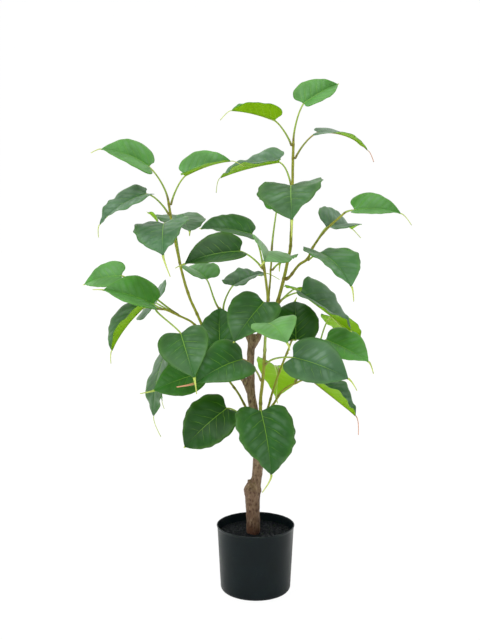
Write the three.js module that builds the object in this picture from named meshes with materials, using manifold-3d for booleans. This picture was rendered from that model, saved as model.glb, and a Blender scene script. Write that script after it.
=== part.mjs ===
// An artificial bodhi tree in a round plastic pot. Millimetres, +Z up.
// The origin is the centre of the pot's flat underside, and -Y is the side that faces the viewer.
import * as THREE from 'three';
import Module from 'manifold-3d';

const wasm = await Module();
wasm.setup();

// ---------- Driving sizes ----------

const GAP = 0.3; // clear space left between two pieces that meet

const POT = {
  height: 120,
  rimRadius: 69.6,
  lipHeight: 4.5,
  lipChamfer: 1,
  topRadius: 68.4,
  footRadius: 62.8,
  cornerRadius: 8,
  cornerSteps: 3,
  wall: 2,
  floor: 3,
  segments: 40,
};

const FILL = { top: 106, segments: 28 };

// The trunk, from its flat cut up to where it forks: [x, y, z, radius] of each section.
const TRUNK = {
  sides: 12,
  sections: [
    [-4.2, -4, FILL.top + GAP, 10.8],
    [-4.2, -4, 114, 12.4],
    [-5.2, -5, 157, 12.4],
    [-5.2, -6, 173, 14],
    [-5.2, -6, 185, 16.2],
    [-2.4, -6, 195, 12],
    [1.6, -6, 207, 9.4],
    [4.4, -6, 240, 9.3],
    [2.4, -4, 284, 8.4],
    [-4.4, -2, 334, 7.7],
    [-9, 0, 366, 7.4],
    [-9.4, 2, 421, 6.4],
    [-7.4, 3, 448, 7],
    [-6, 3, 464, 6],
  ],
};

// Short spurs that are one piece with the trunk. The first three carry a bough.
const SPURS = {
  left_spur: { path: [[-9, 0, 360], [-16, 2, 374], [-25, 4, 386]], foot: 7.4, tip: 4.2 },
  left_prong: { path: [[-7, 3, 444], [-13, 5, 457], [-19, 8, 468]], foot: 6, tip: 3 },
  right_prong: { path: [[-6, 3, 442], [4, 3, 458], [9.5, 3, 475]], foot: 6.6, tip: 3.8 },
  knob_spur: { path: [[-7, -7, 186], [-11, -9, 196], [-12.5, -9, 205]], foot: 7, tip: 2.2 },
};

// Boughs and stems. Each leaves `on` at the share `at` of its length and runs through `path`.
const LIMBS = {
  front_stem: {
    on: 'trunk',
    at: 0.63,
    path: [[8, -16, 334], [10, -20, 369], [14, -26, 414], [16, -32, 462], [20, -37, 524], [13, -42, 589]],
    foot: 3.4,
    tip: 2.1,
  },
  centre_twig: {
    on: 'front_stem',
    at: 0.86,
    path: [[25, -18, 572], [27, 0, 611]],
    foot: 1.8,
    tip: 1.6,
  },
  leader: {
    on: 'right_prong',
    at: 1,
    path: [[21, 4, 495], [37, 5, 519], [55, 2, 593], [60, 0, 628], [62, -2, 729], [63, -3, 796]],
    foot: 3.6,
    tip: 2.2,
  },
  right_bough: {
    on: 'leader',
    at: 0.51,
    path: [[65, 1, 575], [89, -4, 596], [99, -7, 618], [120, -8, 646], [151, -3, 674]],
    foot: 2.5,
    tip: 1.9,
  },
  left_bough: {
    on: 'left_spur',
    at: 1,
    path: [[-60, 12, 419], [-85, 18, 450], [-99, 20, 485], [-122, 19, 540], [-141, 11, 624], [-152, 4, 696]],
    foot: 3,
    tip: 2.1,
  },
  low_left_bough: {
    on: 'left_bough',
    at: 0.53,
    path: [[-116, 14, 485], [-135, 6, 495], [-155, -4, 506], [-169, -10, 509]],
    foot: 2.2,
    tip: 1.7,
  },
  right_stem: {
    on: 'trunk',
    at: 0.645,
    path: [[23, 6, 336], [32, 14, 365], [42, 24, 393], [57, 42, 427], [64, 52, 444]],
    foot: 2.4,
    tip: 1.8,
  },
  low_right_stem: {
    on: 'trunk',
    at: 0.66,
    path: [[32, 0, 340], [49, 8, 363], [78, 8, 379], [91, 7, 385]],
    foot: 2.3,
    tip: 1.7,
  },
  back_left_stem: {
    on: 'trunk',
    at: 0.68,
    path: [[-30, 12, 354], [-46, 17, 375], [-64, 22, 400], [-78, 26, 417]],
    foot: 2.2,
    tip: 1.7,
  },
  upper_left_twig: {
    on: 'left_prong',
    at: 1,
    path: [[-42, 18, 483], [-60, 26, 498], [-65, 29, 504]],
    foot: 2,
    tip: 1.5,
  },
};

// A leaf: the share `at` of its carrier, then its stalk, blade and drip tip, each given as
// [length, heading, pitch]. Headings turn from +X towards +Y and pitches rise from level, in degrees.
// `roll` turns the blade about its midrib, `fold` lifts its two halves, `wide` scales its width and
// `arch` bows its midrib upwards, as a share of its length. `twist` is how much further the blade has
// turned about its midrib at its tip, in degrees, and `blunt` widens it towards the tip.
function leaf(at, stalk, blade, shape = {}) {
  const plain = { drip: null, roll: 0, fold: 12, wide: 1, arch: 0.07, twist: 0, blunt: 0 };
  return { at, stalk, blade, ...plain, ...shape };
}

const LEAVES = {
  trunk: [
    leaf(0.599, [104, -86, 43], [109, -70, -62], {
      drip: [33, -155, -60],
      roll: -5, fold: 6, wide: 1.03, arch: 0.05, twist: -16,
    }),
    leaf(0.634, [83, -137, 34], [97, -167, -41], {
      roll: -49, fold: 19, wide: 0.91, twist: -23, blunt: 0.5,
    }),
  ],
  front_stem: [
    leaf(0.486, [69, -128, 39], [99, -146, -18], {
      drip: [31, -167, -10],
      roll: -47, fold: 25, wide: 0.9, arch: 0.13,
    }),
    leaf(0.576, [71, -46, 16], [99, -16, -18], {
      drip: [25, -14, -52],
      roll: 43, fold: 16, wide: 0.92, twist: 11,
    }),
    leaf(0.609, [120, -86, 37], [69, -65, -19], {
      drip: [13, -46, -62],
      roll: 12, fold: 18, wide: 1.13, arch: 0.1, twist: 12,
    }),
    leaf(0.794, [32, -116, 67], [91, -137, -42], {
      roll: -25, fold: 17, wide: 1.02, arch: 0.05, twist: 6,
    }),
    leaf(0.975, [79, 114, 49], [90, -169, 7], {
      roll: -29, fold: 22, wide: 0.88, arch: 0.06, twist: 4, blunt: 0.5,
    }),
    leaf(0.985, [53, -155, 34], [95, -171, -12], {
      drip: [18, -178, -24],
      roll: -37, fold: 28, wide: 0.84, twist: -5,
    }),
    leaf(1, [25, -44, 63], [73, -96, -10], {
      drip: [12, -150, -41],
      roll: -29, fold: 30, wide: 1.2, arch: 0.02, twist: -12, blunt: 0.1,
    }),
  ],
  centre_twig: [
    leaf(0.712, [35, 0, 38], [50, -105, -7], { drip: [15, -104, -67], wide: 0.9 }),
    leaf(1, [86, 78, 58], [72, 85, 33], { roll: -10, wide: 0.68 }),
  ],
  leader: [
    leaf(0.419, [53, 40, 29], [65, 58, -26]),
    leaf(0.439, [44, -21, 20], [109, -4, -37], {
      roll: 21, fold: 30, wide: 1.1, arch: 0, twist: -21, blunt: 0.3,
    }),
    leaf(0.805, [41, -96, 45], [116, -91, -28], {
      drip: [30, -93, -70],
      roll: 6, fold: 14, wide: 0.97, arch: 0.08, twist: 14,
    }),
    leaf(0.842, [69, 114, 39], [110, 167, -14], {
      drip: [28, 165, -73],
      roll: -16, fold: 26, wide: 0.95, arch: 0.03, twist: 6,
    }),
    leaf(0.935, [60, 4, 46], [90, -1, -19], {
      drip: [23, 0, -61],
      roll: 15, fold: 7, wide: 0.86, arch: 0.12, twist: -24,
    }),
    leaf(0.985, [54, -151, 48], [77, -162, 11], {
      drip: [25, -170, -39],
      roll: 4, fold: 44, wide: 0.98, arch: 0.04, twist: -9, blunt: 0.4,
    }),
    leaf(1, [65, 10, 75], [76, 27, 28], {
      roll: 30, fold: 26, wide: 0.94, arch: 0.04, twist: 7, blunt: 0.1,
    }),
  ],
  right_bough: [
    leaf(0.496, [28, -38, 25], [106, -60, -28], {
      drip: [26, -64, -71],
      roll: -1, fold: 21, wide: 0.93, arch: 0.08, twist: 1, blunt: 0.1,
    }),
    leaf(0.647, [56, 55, 37], [97, 57, -3], {
      drip: [25, 22, -42],
      roll: 31, fold: 37, wide: 0.94, twist: -12, blunt: 0.5,
    }),
    leaf(1, [18, 10, 18], [80, -1, -4], { drip: [28, 1, -46], roll: 31, fold: 26, wide: 0.92, twist: 2 }),
  ],
  left_bough: [
    leaf(0.797, [111, 98, 47], [98, -72, -15], {
      drip: [9, -90, -73],
      roll: 3, fold: 4, wide: 0.88, arch: 0.03, twist: -6, blunt: 0.3,
    }),
    leaf(0.887, [33, 150, 20], [52, 120, 26], { roll: 60, wide: 0.45 }),
    leaf(0.91, [40, -106, 8], [99, -86, -29], {
      drip: [39, -48, -61],
      roll: 10, fold: 19, wide: 0.99, arch: 0.08, twist: 12, blunt: 0.1,
    }),
    leaf(0.952, [62, -135, 34], [95, -162, -32], {
      drip: [22, -136, -81],
      roll: -19, fold: 13, wide: 0.82, arch: 0.09, twist: 6, blunt: 0.1,
    }),
    leaf(0.985, [57, -5, 60], [82, 4, 18], {
      drip: [25, 3, -21],
      roll: 23, fold: 43, wide: 0.99, arch: 0.05, twist: 8, blunt: 0.1,
    }),
    leaf(1, [68, -140, 56], [85, -167, 20], {
      drip: [19, -176, -20],
      roll: -35, fold: 16, wide: 0.98, arch: 0.09, twist: -2,
    }),
  ],
  low_left_bough: [
    leaf(0.607, [125, 167, 33], [72, 168, -13], { drip: [4, 174, -25], roll: -36, fold: 16, wide: 1.01 }),
    leaf(0.699, [51, 132, 15], [94, 100, -4], { roll: -54, fold: 8, wide: 0.95, arch: 0.05 }),
    leaf(0.915, [43, 148, -1], [94, -141, -47], {
      drip: [23, -111, -80],
      roll: 9, fold: 37, wide: 1.1, arch: 0.05, twist: 17, blunt: 0.2,
    }),
    leaf(0.967, [25, -113, 24], [88, -175, 17], {
      drip: [19, -176, 2],
      roll: -28, fold: 29, wide: 1.03, arch: 0.06, twist: -13,
    }),
    leaf(1, [71, -47, -31], [100, -70, -38], { drip: [28, -64, -68], roll: 22, wide: 0.88, twist: 3 }),
  ],
  right_stem: [
    leaf(0.667, [47, 99, 3], [114, 87, -42], {
      drip: [13, 44, -70],
      roll: 18, fold: 18, wide: 0.78, arch: 0.09, twist: -3,
    }),
    leaf(1, [13, 49, 3], [77, 91, 58], {
      drip: [9, 30, 62],
      roll: -2, fold: 23, wide: 1.17, arch: 0.09, twist: -2, blunt: 0.3,
    }),
  ],
  low_right_stem: [
    leaf(0.744, [93, 2, 56], [93, -39, -18], {
      drip: [23, -34, -63],
      roll: 30, fold: 13, wide: 0.85, arch: 0.04, twist: -5,
    }),
    leaf(0.885, [147, 59, 43], [95, 38, -40], { roll: -14, fold: 10, wide: 0.76, arch: 0.01, twist: 24 }),
    leaf(1, [10, 56, -18], [102, -18, -36], {
      drip: [35, -28, -80],
      roll: 9, fold: 46, wide: 0.97, arch: 0, twist: -16,
    }),
  ],
  back_left_stem: [
    leaf(0.682, [71, -100, 50], [76, 93, 64], {
      roll: -17, fold: 25, wide: 0.93, arch: 0.08, twist: 2, blunt: 0.5,
    }),
    leaf(0.754, [44, -159, -3], [83, -168, -19], {
      drip: [26, -176, -12],
      roll: -40, fold: 7, wide: 0.92, arch: 0.04, twist: -10,
    }),
    leaf(0.895, [104, 155, 6], [117, -141, -76], {
      drip: [41, -10, -71],
      roll: 20, fold: 0, wide: 0.74, arch: 0.06, twist: -17, blunt: 0.3,
    }),
    leaf(1, [130, 128, -2], [98, 165, -77], { drip: [17, 4, -76], roll: -30, fold: 8 }),
  ],
  upper_left_twig: [
    leaf(0.749, [52, 38, 64], [78, 40, 14], {
      drip: [30, 15, -23],
      roll: 3, fold: 20, wide: 0.91, arch: 0.05, twist: 8, blunt: 0.2,
    }),
    leaf(1, [64, 127, 52], [86, 122, 10], { roll: -5, fold: 27, wide: 0.87, arch: 0.08, twist: 4 }),
  ],
};

// The right-hand edge of a blade one unit long: x is the half width, y the distance along the midrib.
const WIDEST = 0.34; // the share of the edge where its two curves meet, at the blade's widest
const LOBE_EDGE = new THREE.CubicBezierCurve(
  new THREE.Vector2(0.17, -0.065),
  new THREE.Vector2(0.33, -0.125),
  new THREE.Vector2(0.5, 0.02),
  new THREE.Vector2(0.505, 0.29),
);
const TIP_EDGE = new THREE.CubicBezierCurve(
  new THREE.Vector2(0.505, 0.29),
  new THREE.Vector2(0.51, 0.62),
  new THREE.Vector2(0.22, 0.85),
  new THREE.Vector2(0.012, 1),
);
const SWEEP_BACK = 1.4; // how a row of the blade bends from the midrib to the edge
const FLATTEN = 0.7; // how much a lifted half levels out towards its edge
const BLUNT_POWER = 4; // how late along the blade a blunt one widens
const ARRIVE = { blade: 0.5, chord: 0.7 }; // how far a stalk's end follows the blade and its own line
const STALK_HANDLES = { start: 0.3, end: 0.25 }; // how far a stalk runs straight, in stalk lengths
const DRIP_BEND = 0.25; // how far a drip tip carries on the blade's line, in drip lengths

const LEAF = {
  thickness: 2,
  stalkRadius: 1.6,
  tipRadius: 0.7,
  sides: 6,
  stalkRings: [0, 0.4, 0.75, 0.96],
  bladeRings: [0, 0.09, 0.22, 0.4, 0.6, 0.8, 0.95],
  dripRings: [0.2, 0.6, 1],
};

const LIMB_SIDES = 6;
const RINGS_PER_STRETCH = 1.5;
const LEAD = 4; // a limb runs straight for this many of its radii before it bends
const STALK_LEAN = 0.9; // how far a stalk first follows the limb that carries it
const FIRST_SIDE = new THREE.Vector3(1, 0.2, 0); // where the first corner of a limb's ring points
const FIRST_CORNER = 5 / 6; // the angle of a ring's first corner, in half turns

// ---------- Materials ----------

function material(name, colour, roughness) {
  return Object.assign(new THREE.MeshStandardMaterial({ color: colour, roughness, metalness: 0 }), { name });
}

const MATERIALS = {
  pot: material('black_plastic', 0x262b2c, 0.42),
  fill: material('dark_granules', 0x1c201d, 0.95),
  trunk: material('bark', 0x7d6450, 0.85),
  limb: material('stem', 0x6f6a35, 0.6),
  leaf: material('leaf', 0x3f7a3c, 0.5),
};

// ---------- Geometry helpers ----------

function point([x, y, z]) {
  return new THREE.Vector3(x, y, z);
}

function ray([length, heading, pitch]) {
  const turn = THREE.MathUtils.degToRad(heading);
  const rise = THREE.MathUtils.degToRad(pitch);
  const level = Math.cos(rise);
  const unit = new THREE.Vector3(level * Math.cos(turn), level * Math.sin(turn), Math.sin(rise));
  return unit.multiplyScalar(length);
}

function along(start, direction, distance) {
  return start.clone().addScaledVector(direction, distance);
}

// A closed solid through rings of equally many points, each ring clockwise seen along the loft.
function loft(rings) {
  const sides = rings[0].length;
  const faces = [];
  for (let i = 0; i < rings.length - 1; i += 1) {
    for (let k = 0; k < sides; k += 1) {
      const next = (k + 1) % sides;
      const [a, b] = [i * sides + k, i * sides + next];
      faces.push(a, b, b + sides, a, b + sides, a + sides);
    }
  }
  const last = (rings.length - 1) * sides;
  for (let k = 1; k < sides - 1; k += 1) {
    faces.push(0, k + 1, k, last, last + k, last + k + 1);
  }
  const geometry = new THREE.BufferGeometry().setFromPoints(rings.flat());
  geometry.setIndex(faces);
  geometry.computeVertexNormals();
  return geometry;
}

// The side axis carried from one ring to the next, kept square to the new direction.
function carry(side, direction) {
  return side.clone().projectOnPlane(direction).normalize();
}

function ring(centre, side, direction, radius, sides) {
  const top = new THREE.Vector3().crossVectors(side, direction);
  return Array.from({ length: sides }, (_, k) => {
    const angle = Math.PI * (FIRST_CORNER - (2 * k) / sides);
    return along(along(centre, side, radius * Math.cos(angle)), top, radius * Math.sin(angle));
  });
}

// Round rings along a curve at the given shares, without a twist from one to the next.
function ringsAlong(curve, shares, side, radiusAt, sides) {
  let axis = side;
  return shares.map((share) => {
    const direction = curve.getTangent(share);
    axis = carry(axis, direction);
    return ring(curve.getPoint(share), axis, direction, radiusAt(share), sides);
  });
}

function evenShares(count) {
  return Array.from({ length: count + 1 }, (_, i) => i / count);
}

// ---------- Limbs ----------

// A limb is its centre line and its radius, which changes evenly from each value to the next.
function makeLimb(points, radii) {
  const curve = new THREE.CatmullRomCurve3(points, false, 'catmullrom', 0.5);
  const radiusAt = (share) => {
    const place = share * (radii.length - 1);
    const lower = Math.min(Math.floor(place), radii.length - 2);
    return THREE.MathUtils.lerp(radii[lower], radii[lower + 1], place - lower);
  };
  return { curve, radiusAt };
}

// Where a round piece leaves a limb: just clear of its end, or of its skin on the side it heads for.
function leave(carrier, at, heading, radius) {
  const axis = carrier.curve.getPoint(at);
  const forward = carrier.curve.getTangent(at);
  if (at === 1) return { start: along(axis, forward, GAP), heading: forward };
  const out = carry(heading, forward);
  const slant = heading.dot(out);
  const reach = carrier.radiusAt(at) + GAP + radius * Math.sqrt(1 - slant * slant);
  return { start: along(axis, out, reach), heading };
}

function limbFrom(carrier, { at, path, foot, tip }) {
  const points = path.map(point);
  const bound = points[0].clone().sub(carrier.curve.getPoint(at)).normalize();
  const { start, heading } = leave(carrier, at, bound, foot);
  return makeLimb([start, along(start, heading, foot * LEAD), ...points], [foot, tip]);
}

function limbGeometry(limb, sides, rings) {
  const forward = limb.curve.getTangent(0);
  const side = carry(FIRST_SIDE, forward);
  return loft(ringsAlong(limb.curve, evenShares(rings), side, limb.radiusAt, sides));
}

const limbs = {
  trunk: makeLimb(
    TRUNK.sections.map(point),
    TRUNK.sections.map((section) => section[3]),
  ),
};
for (const [name, { path, foot, tip }] of Object.entries(SPURS)) {
  limbs[name] = makeLimb(path.map(point), [foot, tip]);
}
for (const [name, sizes] of Object.entries(LIMBS)) {
  limbs[name] = limbFrom(limbs[sizes.on], sizes);
}

// ---------- Trunk ----------

function toManifold(geometry) {
  return new wasm.Manifold(
    new wasm.Mesh({
      numProp: 3,
      vertProperties: geometry.attributes.position.array,
      triVerts: new Uint32Array(geometry.index.array),
    }),
  );
}

function toGeometry(solid) {
  const mesh = solid.getMesh();
  const geometry = new THREE.BufferGeometry();
  geometry.setAttribute('position', new THREE.BufferAttribute(mesh.vertProperties, 3));
  geometry.setIndex(new THREE.BufferAttribute(mesh.triVerts, 1));
  geometry.computeVertexNormals();
  return geometry;
}

const SPUR_SIDES = 8;
const SPUR_RINGS = 3;

function trunkGeometry() {
  let solid = toManifold(limbGeometry(limbs.trunk, TRUNK.sides, TRUNK.sections.length - 1));
  for (const name of Object.keys(SPURS)) {
    solid = solid.add(toManifold(limbGeometry(limbs[name], SPUR_SIDES, SPUR_RINGS)));
  }
  return toGeometry(solid);
}

// ---------- Leaves ----------

// The blade's own axes: y along the midrib, z out of its upper face, x to the right.
function bladeAxes([, heading, pitch], roll) {
  const y = ray([1, heading, pitch]);
  const level = carry(new THREE.Vector3(0, 0, 1), y);
  const right = new THREE.Vector3().crossVectors(y, level);
  const turn = THREE.MathUtils.degToRad(roll);
  const z = level.multiplyScalar(Math.cos(turn)).addScaledVector(right, Math.sin(turn));
  return { x: new THREE.Vector3().crossVectors(y, z), y, z };
}

function edgeAt(share) {
  if (share < WIDEST) return LOBE_EDGE.getPoint(share / WIDEST);
  return TIP_EDGE.getPoint((share - WIDEST) / (1 - WIDEST));
}

// One row across the blade: the upper face from left to right, then the under face back again.
function bladeRing(share, base, axes, { blade, roll, twist, fold, wide, blunt, arch }) {
  const [size] = blade;
  const edge = edgeAt(share);
  const lean = THREE.MathUtils.degToRad(fold);
  const surface = (side, offset) => {
    const across = edge.x * side * wide * (1 + blunt * share ** BLUNT_POWER);
    const forth = share + (edge.y - share) * Math.abs(side) ** SWEEP_BACK;
    const twisted = bladeAxes(blade, roll + twist * forth);
    const lift = Math.abs(across) * Math.sin(lean) * (1 - FLATTEN * Math.abs(across));
    return along(base, axes.y, forth * size)
      .addScaledVector(axes.z, 4 * arch * forth * (1 - forth) * size)
      .addScaledVector(twisted.x, across * Math.cos(lean) * size)
      .addScaledVector(twisted.z, lift * size + offset);
  };
  const half = LEAF.thickness / 2;
  const upper = [-1, 0, 1].map((side) => surface(side, half));
  const under = [1, 0, -1].map((side) => surface(side, -half));
  return [...upper, ...under];
}

function leafGeometry(carrier, row) {
  const root = carrier.curve.getPoint(row.at);
  const base = root.clone().add(ray(row.stalk));
  const tip = base.clone().add(ray(row.blade));
  const axes = bladeAxes(row.blade, row.roll);

  const bound = ray(row.stalk).normalize();
  const lean = bound.clone().addScaledVector(carrier.curve.getTangent(row.at), STALK_LEAN).normalize();
  const { start, heading } = leave(carrier, row.at, lean, LEAF.stalkRadius);
  const reach = start.distanceTo(base);
  const chord = base.clone().sub(start).normalize();
  const ending = axes.y.clone().multiplyScalar(ARRIVE.blade).addScaledVector(chord, ARRIVE.chord).normalize();
  const stalk = new THREE.CubicBezierCurve3(
    start,
    along(start, heading, reach * STALK_HANDLES.start),
    along(base, ending, -reach * STALK_HANDLES.end),
    base,
  );
  // The stalk's rings are worked out from the blade back to the limb, so that they never twist.
  const back = [...LEAF.stalkRings].reverse();
  const stalkRings = ringsAlong(stalk, back, axes.x, () => LEAF.stalkRadius, LEAF.sides).reverse();

  const bladeRings = LEAF.bladeRings.map((share) => bladeRing(share, base, axes, row));
  const end = row.drip ? tip.clone().add(ray(row.drip)) : along(tip, axes.y, LEAF.thickness);
  const bend = along(tip, axes.y, tip.distanceTo(end) * DRIP_BEND);
  const drip = new THREE.QuadraticBezierCurve3(tip, bend, end);
  const dripShares = row.drip ? LEAF.dripRings : [1];
  const dripRings = ringsAlong(drip, dripShares, axes.x, () => LEAF.tipRadius, LEAF.sides);
  return loft([...stalkRings, ...bladeRings, ...dripRings]);
}

// ---------- Pot and fill ----------

// The half profile of the pot, from the middle of the underside out, up the outside, over the lip
// and down the inside to the middle of the floor.
function potProfile() {
  const { height, rimRadius, lipChamfer, topRadius, footRadius, cornerRadius, wall, floor } = POT;
  const corner = evenShares(POT.cornerSteps).map((share) => {
    const angle = (share * Math.PI) / 2;
    const reach = footRadius - cornerRadius + cornerRadius * Math.sin(angle);
    return [reach, cornerRadius * (1 - Math.cos(angle))];
  });
  return [
    [0, 0],
    ...corner,
    [topRadius, height - POT.lipHeight],
    [rimRadius, height - 2 * lipChamfer],
    [rimRadius, height - lipChamfer],
    [rimRadius - lipChamfer, height],
    [topRadius - wall, height],
    [footRadius - wall, cornerRadius],
    [footRadius - cornerRadius, floor],
    [0, floor],
  ].map(([radius, z]) => new THREE.Vector2(radius, z));
}

// The pot's inner radius at a height between its rounded corner and its lip.
function boreRadius(z) {
  const share = (z - POT.cornerRadius) / (POT.height - POT.cornerRadius);
  return THREE.MathUtils.lerp(POT.footRadius, POT.topRadius, share) - POT.wall;
}

// The fill clears the facets of the pot, whose flats lie inside its true circle.
function fillProfile() {
  const flat = Math.cos(Math.PI / POT.segments);
  const foot = POT.cornerRadius + GAP;
  return [
    [0, foot],
    [boreRadius(foot) * flat - GAP, foot],
    [boreRadius(FILL.top) * flat - GAP, FILL.top],
    [0, FILL.top],
  ].map(([radius, z]) => new THREE.Vector2(radius, z));
}

// A lathe turns about Y; this stands it up along Z.
function turned(profile, segments) {
  return new THREE.LatheGeometry(profile, segments).rotateX(Math.PI / 2);
}

// ---------- Assembly ----------

const tree = new THREE.Group();

function addPart(name, geometry, finish) {
  const mesh = new THREE.Mesh(geometry, finish);
  mesh.name = name;
  tree.add(mesh);
}

addPart('pot', turned(potProfile(), POT.segments), MATERIALS.pot);
addPart('fill', turned(fillProfile(), FILL.segments), MATERIALS.fill);
addPart('trunk', trunkGeometry(), MATERIALS.trunk);
for (const name of Object.keys(LIMBS)) {
  const rings = Math.round((LIMBS[name].path.length + 1) * RINGS_PER_STRETCH);
  addPart(name, limbGeometry(limbs[name], LIMB_SIDES, rings), MATERIALS.limb);
}
for (const [carrier, rows] of Object.entries(LEAVES)) {
  rows.forEach((row, i) => {
    addPart(`${carrier}_leaf_${i + 1}`, leafGeometry(limbs[carrier], row), MATERIALS.leaf);
  });
}

export default tree;
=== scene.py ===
"""Builds the finished look of an artificial bodhi tree in a plastic pot, in place of its plain solids.

Tables and modelling are in millimetres, and a piece is brought to metres when it is finished.
"""

import math
import random

import bmesh
import bpy
from mathutils import Matrix, Vector, noise


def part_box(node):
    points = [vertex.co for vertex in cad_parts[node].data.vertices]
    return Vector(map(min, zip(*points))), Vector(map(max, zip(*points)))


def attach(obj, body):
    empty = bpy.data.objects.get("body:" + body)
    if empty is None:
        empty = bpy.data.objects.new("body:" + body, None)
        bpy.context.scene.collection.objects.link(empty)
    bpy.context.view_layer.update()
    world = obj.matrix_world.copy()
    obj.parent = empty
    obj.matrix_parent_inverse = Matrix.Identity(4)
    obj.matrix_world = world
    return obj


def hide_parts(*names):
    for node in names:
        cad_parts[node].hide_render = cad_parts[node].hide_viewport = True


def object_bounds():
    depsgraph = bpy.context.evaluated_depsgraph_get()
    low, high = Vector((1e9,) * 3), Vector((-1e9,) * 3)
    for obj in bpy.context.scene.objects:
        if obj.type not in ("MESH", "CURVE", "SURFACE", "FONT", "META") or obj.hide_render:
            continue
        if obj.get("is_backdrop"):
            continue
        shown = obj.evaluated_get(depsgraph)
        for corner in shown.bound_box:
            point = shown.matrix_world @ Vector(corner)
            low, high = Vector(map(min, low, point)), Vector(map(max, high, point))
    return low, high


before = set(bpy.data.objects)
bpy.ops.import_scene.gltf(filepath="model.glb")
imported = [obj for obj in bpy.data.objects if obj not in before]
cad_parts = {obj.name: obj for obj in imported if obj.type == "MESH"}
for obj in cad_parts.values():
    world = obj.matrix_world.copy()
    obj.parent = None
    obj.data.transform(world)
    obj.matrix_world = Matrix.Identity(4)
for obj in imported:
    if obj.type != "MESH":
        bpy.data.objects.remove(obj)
CAD_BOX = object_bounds()
POT_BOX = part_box("pot")
FILL_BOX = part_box("fill")

bl_info = {
    "name": "Artificial Bodhi Tree",
    "version": (1, 0, 0),
    "blender": (4, 5, 0),
    "location": "3D View > Sidebar > Plant",
    "description": "Makes an artificial bodhi tree in a plastic pot",
    "category": "Add Mesh",
}

MM = 0.001
BODY = "root"
UP = Vector((0, 0, 1))


def tone(red, green, blue):
    """A colour written as screen values from 0 to 255, as the shader's own values."""
    return tuple(
        (v / 255 / 12.92) if v <= 10 else ((v / 255 + 0.055) / 1.055) ** 2.4 for v in (red, green, blue)
    )


# ---------- The plant's layout, in millimetres, as its solids have it ----------

# The trunk from its cut up to its fork: x, y, z and radius of each section.
TRUNK = [
    (-4.2, -4, 103, 10.8),
    (-4.2, -4, 114, 12.4),
    (-5.2, -5, 157, 12.4),
    (-5.2, -6, 173, 14),
    (-5.2, -6, 185, 16.2),
    (-2.4, -6, 195, 12),
    (1.6, -6, 207, 9.4),
    (4.4, -6, 240, 9.3),
    (2.4, -4, 284, 8.4),
    (-4.4, -2, 334, 7.7),
    (-9, 0, 366, 7.4),
    (-9.4, 2, 421, 6.4),
    (-7.4, 3, 448, 7),
    (-6, 3, 464, 6),
]
# The solid trunk stands on the fill at this height; the finished one goes on down into the fill.
TRUNK_FOOT = 106.3

# Short spurs that are one piece with the trunk: path, radius at the foot and at the tip.
SPURS = {
    "left_spur": ([(-9, 0, 360), (-16, 2, 374), (-25, 4, 386)], 7.4, 4.2),
    "left_prong": ([(-7, 3, 444), (-13, 5, 457), (-19, 8, 468)], 6, 3),
    "right_prong": ([(-6, 3, 442), (4, 3, 458), (9.5, 3, 475)], 6.6, 3.8),
    "knob_spur": ([(-7, -7, 186), (-11, -9, 196), (-12.5, -9, 205)], 7, 2.2),
}

# Boughs and stems: what carries it, the share of its length where it leaves, its path and radii.
LIMBS = {
    "front_stem": ("trunk", 0.63, [
        (8, -16, 334), (10, -20, 369), (14, -26, 414), (16, -32, 462), (20, -37, 524), (13, -42, 589),
    ], 3.4, 2.1),
    "centre_twig": ("front_stem", 0.86, [(25, -18, 572), (27, 0, 611)], 1.8, 1.6),
    "leader": ("right_prong", 1, [
        (21, 4, 495), (37, 5, 519), (55, 2, 593), (60, 0, 628), (62, -2, 729), (63, -3, 796),
    ], 3.6, 2.2),
    "right_bough": ("leader", 0.51, [
        (74, -1, 585), (89, -4, 596), (99, -7, 618), (120, -8, 646), (151, -3, 674),
    ], 2.5, 1.9),
    "left_bough": ("left_spur", 1, [
        (-60, 12, 419), (-85, 18, 450), (-99, 20, 485), (-122, 19, 540), (-141, 11, 624), (-152, 4, 696),
    ], 3, 2.1),
    "low_left_bough": ("left_bough", 0.53, [
        (-116, 14, 485), (-135, 6, 495), (-155, -4, 506), (-169, -10, 509),
    ], 2.2, 1.7),
    "right_stem": ("trunk", 0.645, [
        (23, 6, 336), (32, 14, 365), (42, 24, 393), (57, 42, 427), (64, 52, 444),
    ], 2.4, 1.8),
    "low_right_stem": ("trunk", 0.66, [(32, 0, 340), (49, 8, 363), (78, 8, 379), (91, 7, 385)], 2.3, 1.7),
    "back_left_stem": ("trunk", 0.68, [
        (-30, 12, 354), (-46, 17, 375), (-64, 22, 400), (-78, 26, 417),
    ], 2.2, 1.7),
    "upper_left_twig": ("left_prong", 1, [(-42, 18, 483), (-60, 26, 498), (-65, 29, 504)], 2, 1.5),
}


def leaf(
    at, stalk, blade, drip=None, roll=0, fold=12, wide=1, arch=0.07, twist=0, blunt=0,
    tint="mid", wave=1, tail="pale",
):
    """One leaf: the share of its carrier where it grows, then its stalk, blade and drip tip.

    Each of those is a length, a heading from +X towards +Y and a pitch above level, in degrees.
    `roll` turns the blade about its midrib and `twist` adds to that towards its tip, `fold` lifts
    its halves, `wide` scales its width, `blunt` widens it near the tip, `arch` bows its midrib,
    `wave` is how far its edge ripples, and `tint` and `tail` name colours.
    """
    return {
        "at": at,
        "stalk": stalk,
        "blade": blade,
        "drip": drip,
        "roll": math.radians(roll),
        "fold": math.radians(fold),
        "wide": wide,
        "arch": arch,
        "twist": math.radians(twist),
        "blunt": blunt,
        "tint": tint,
        "wave": wave,
        "tail": tail,
    }


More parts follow.
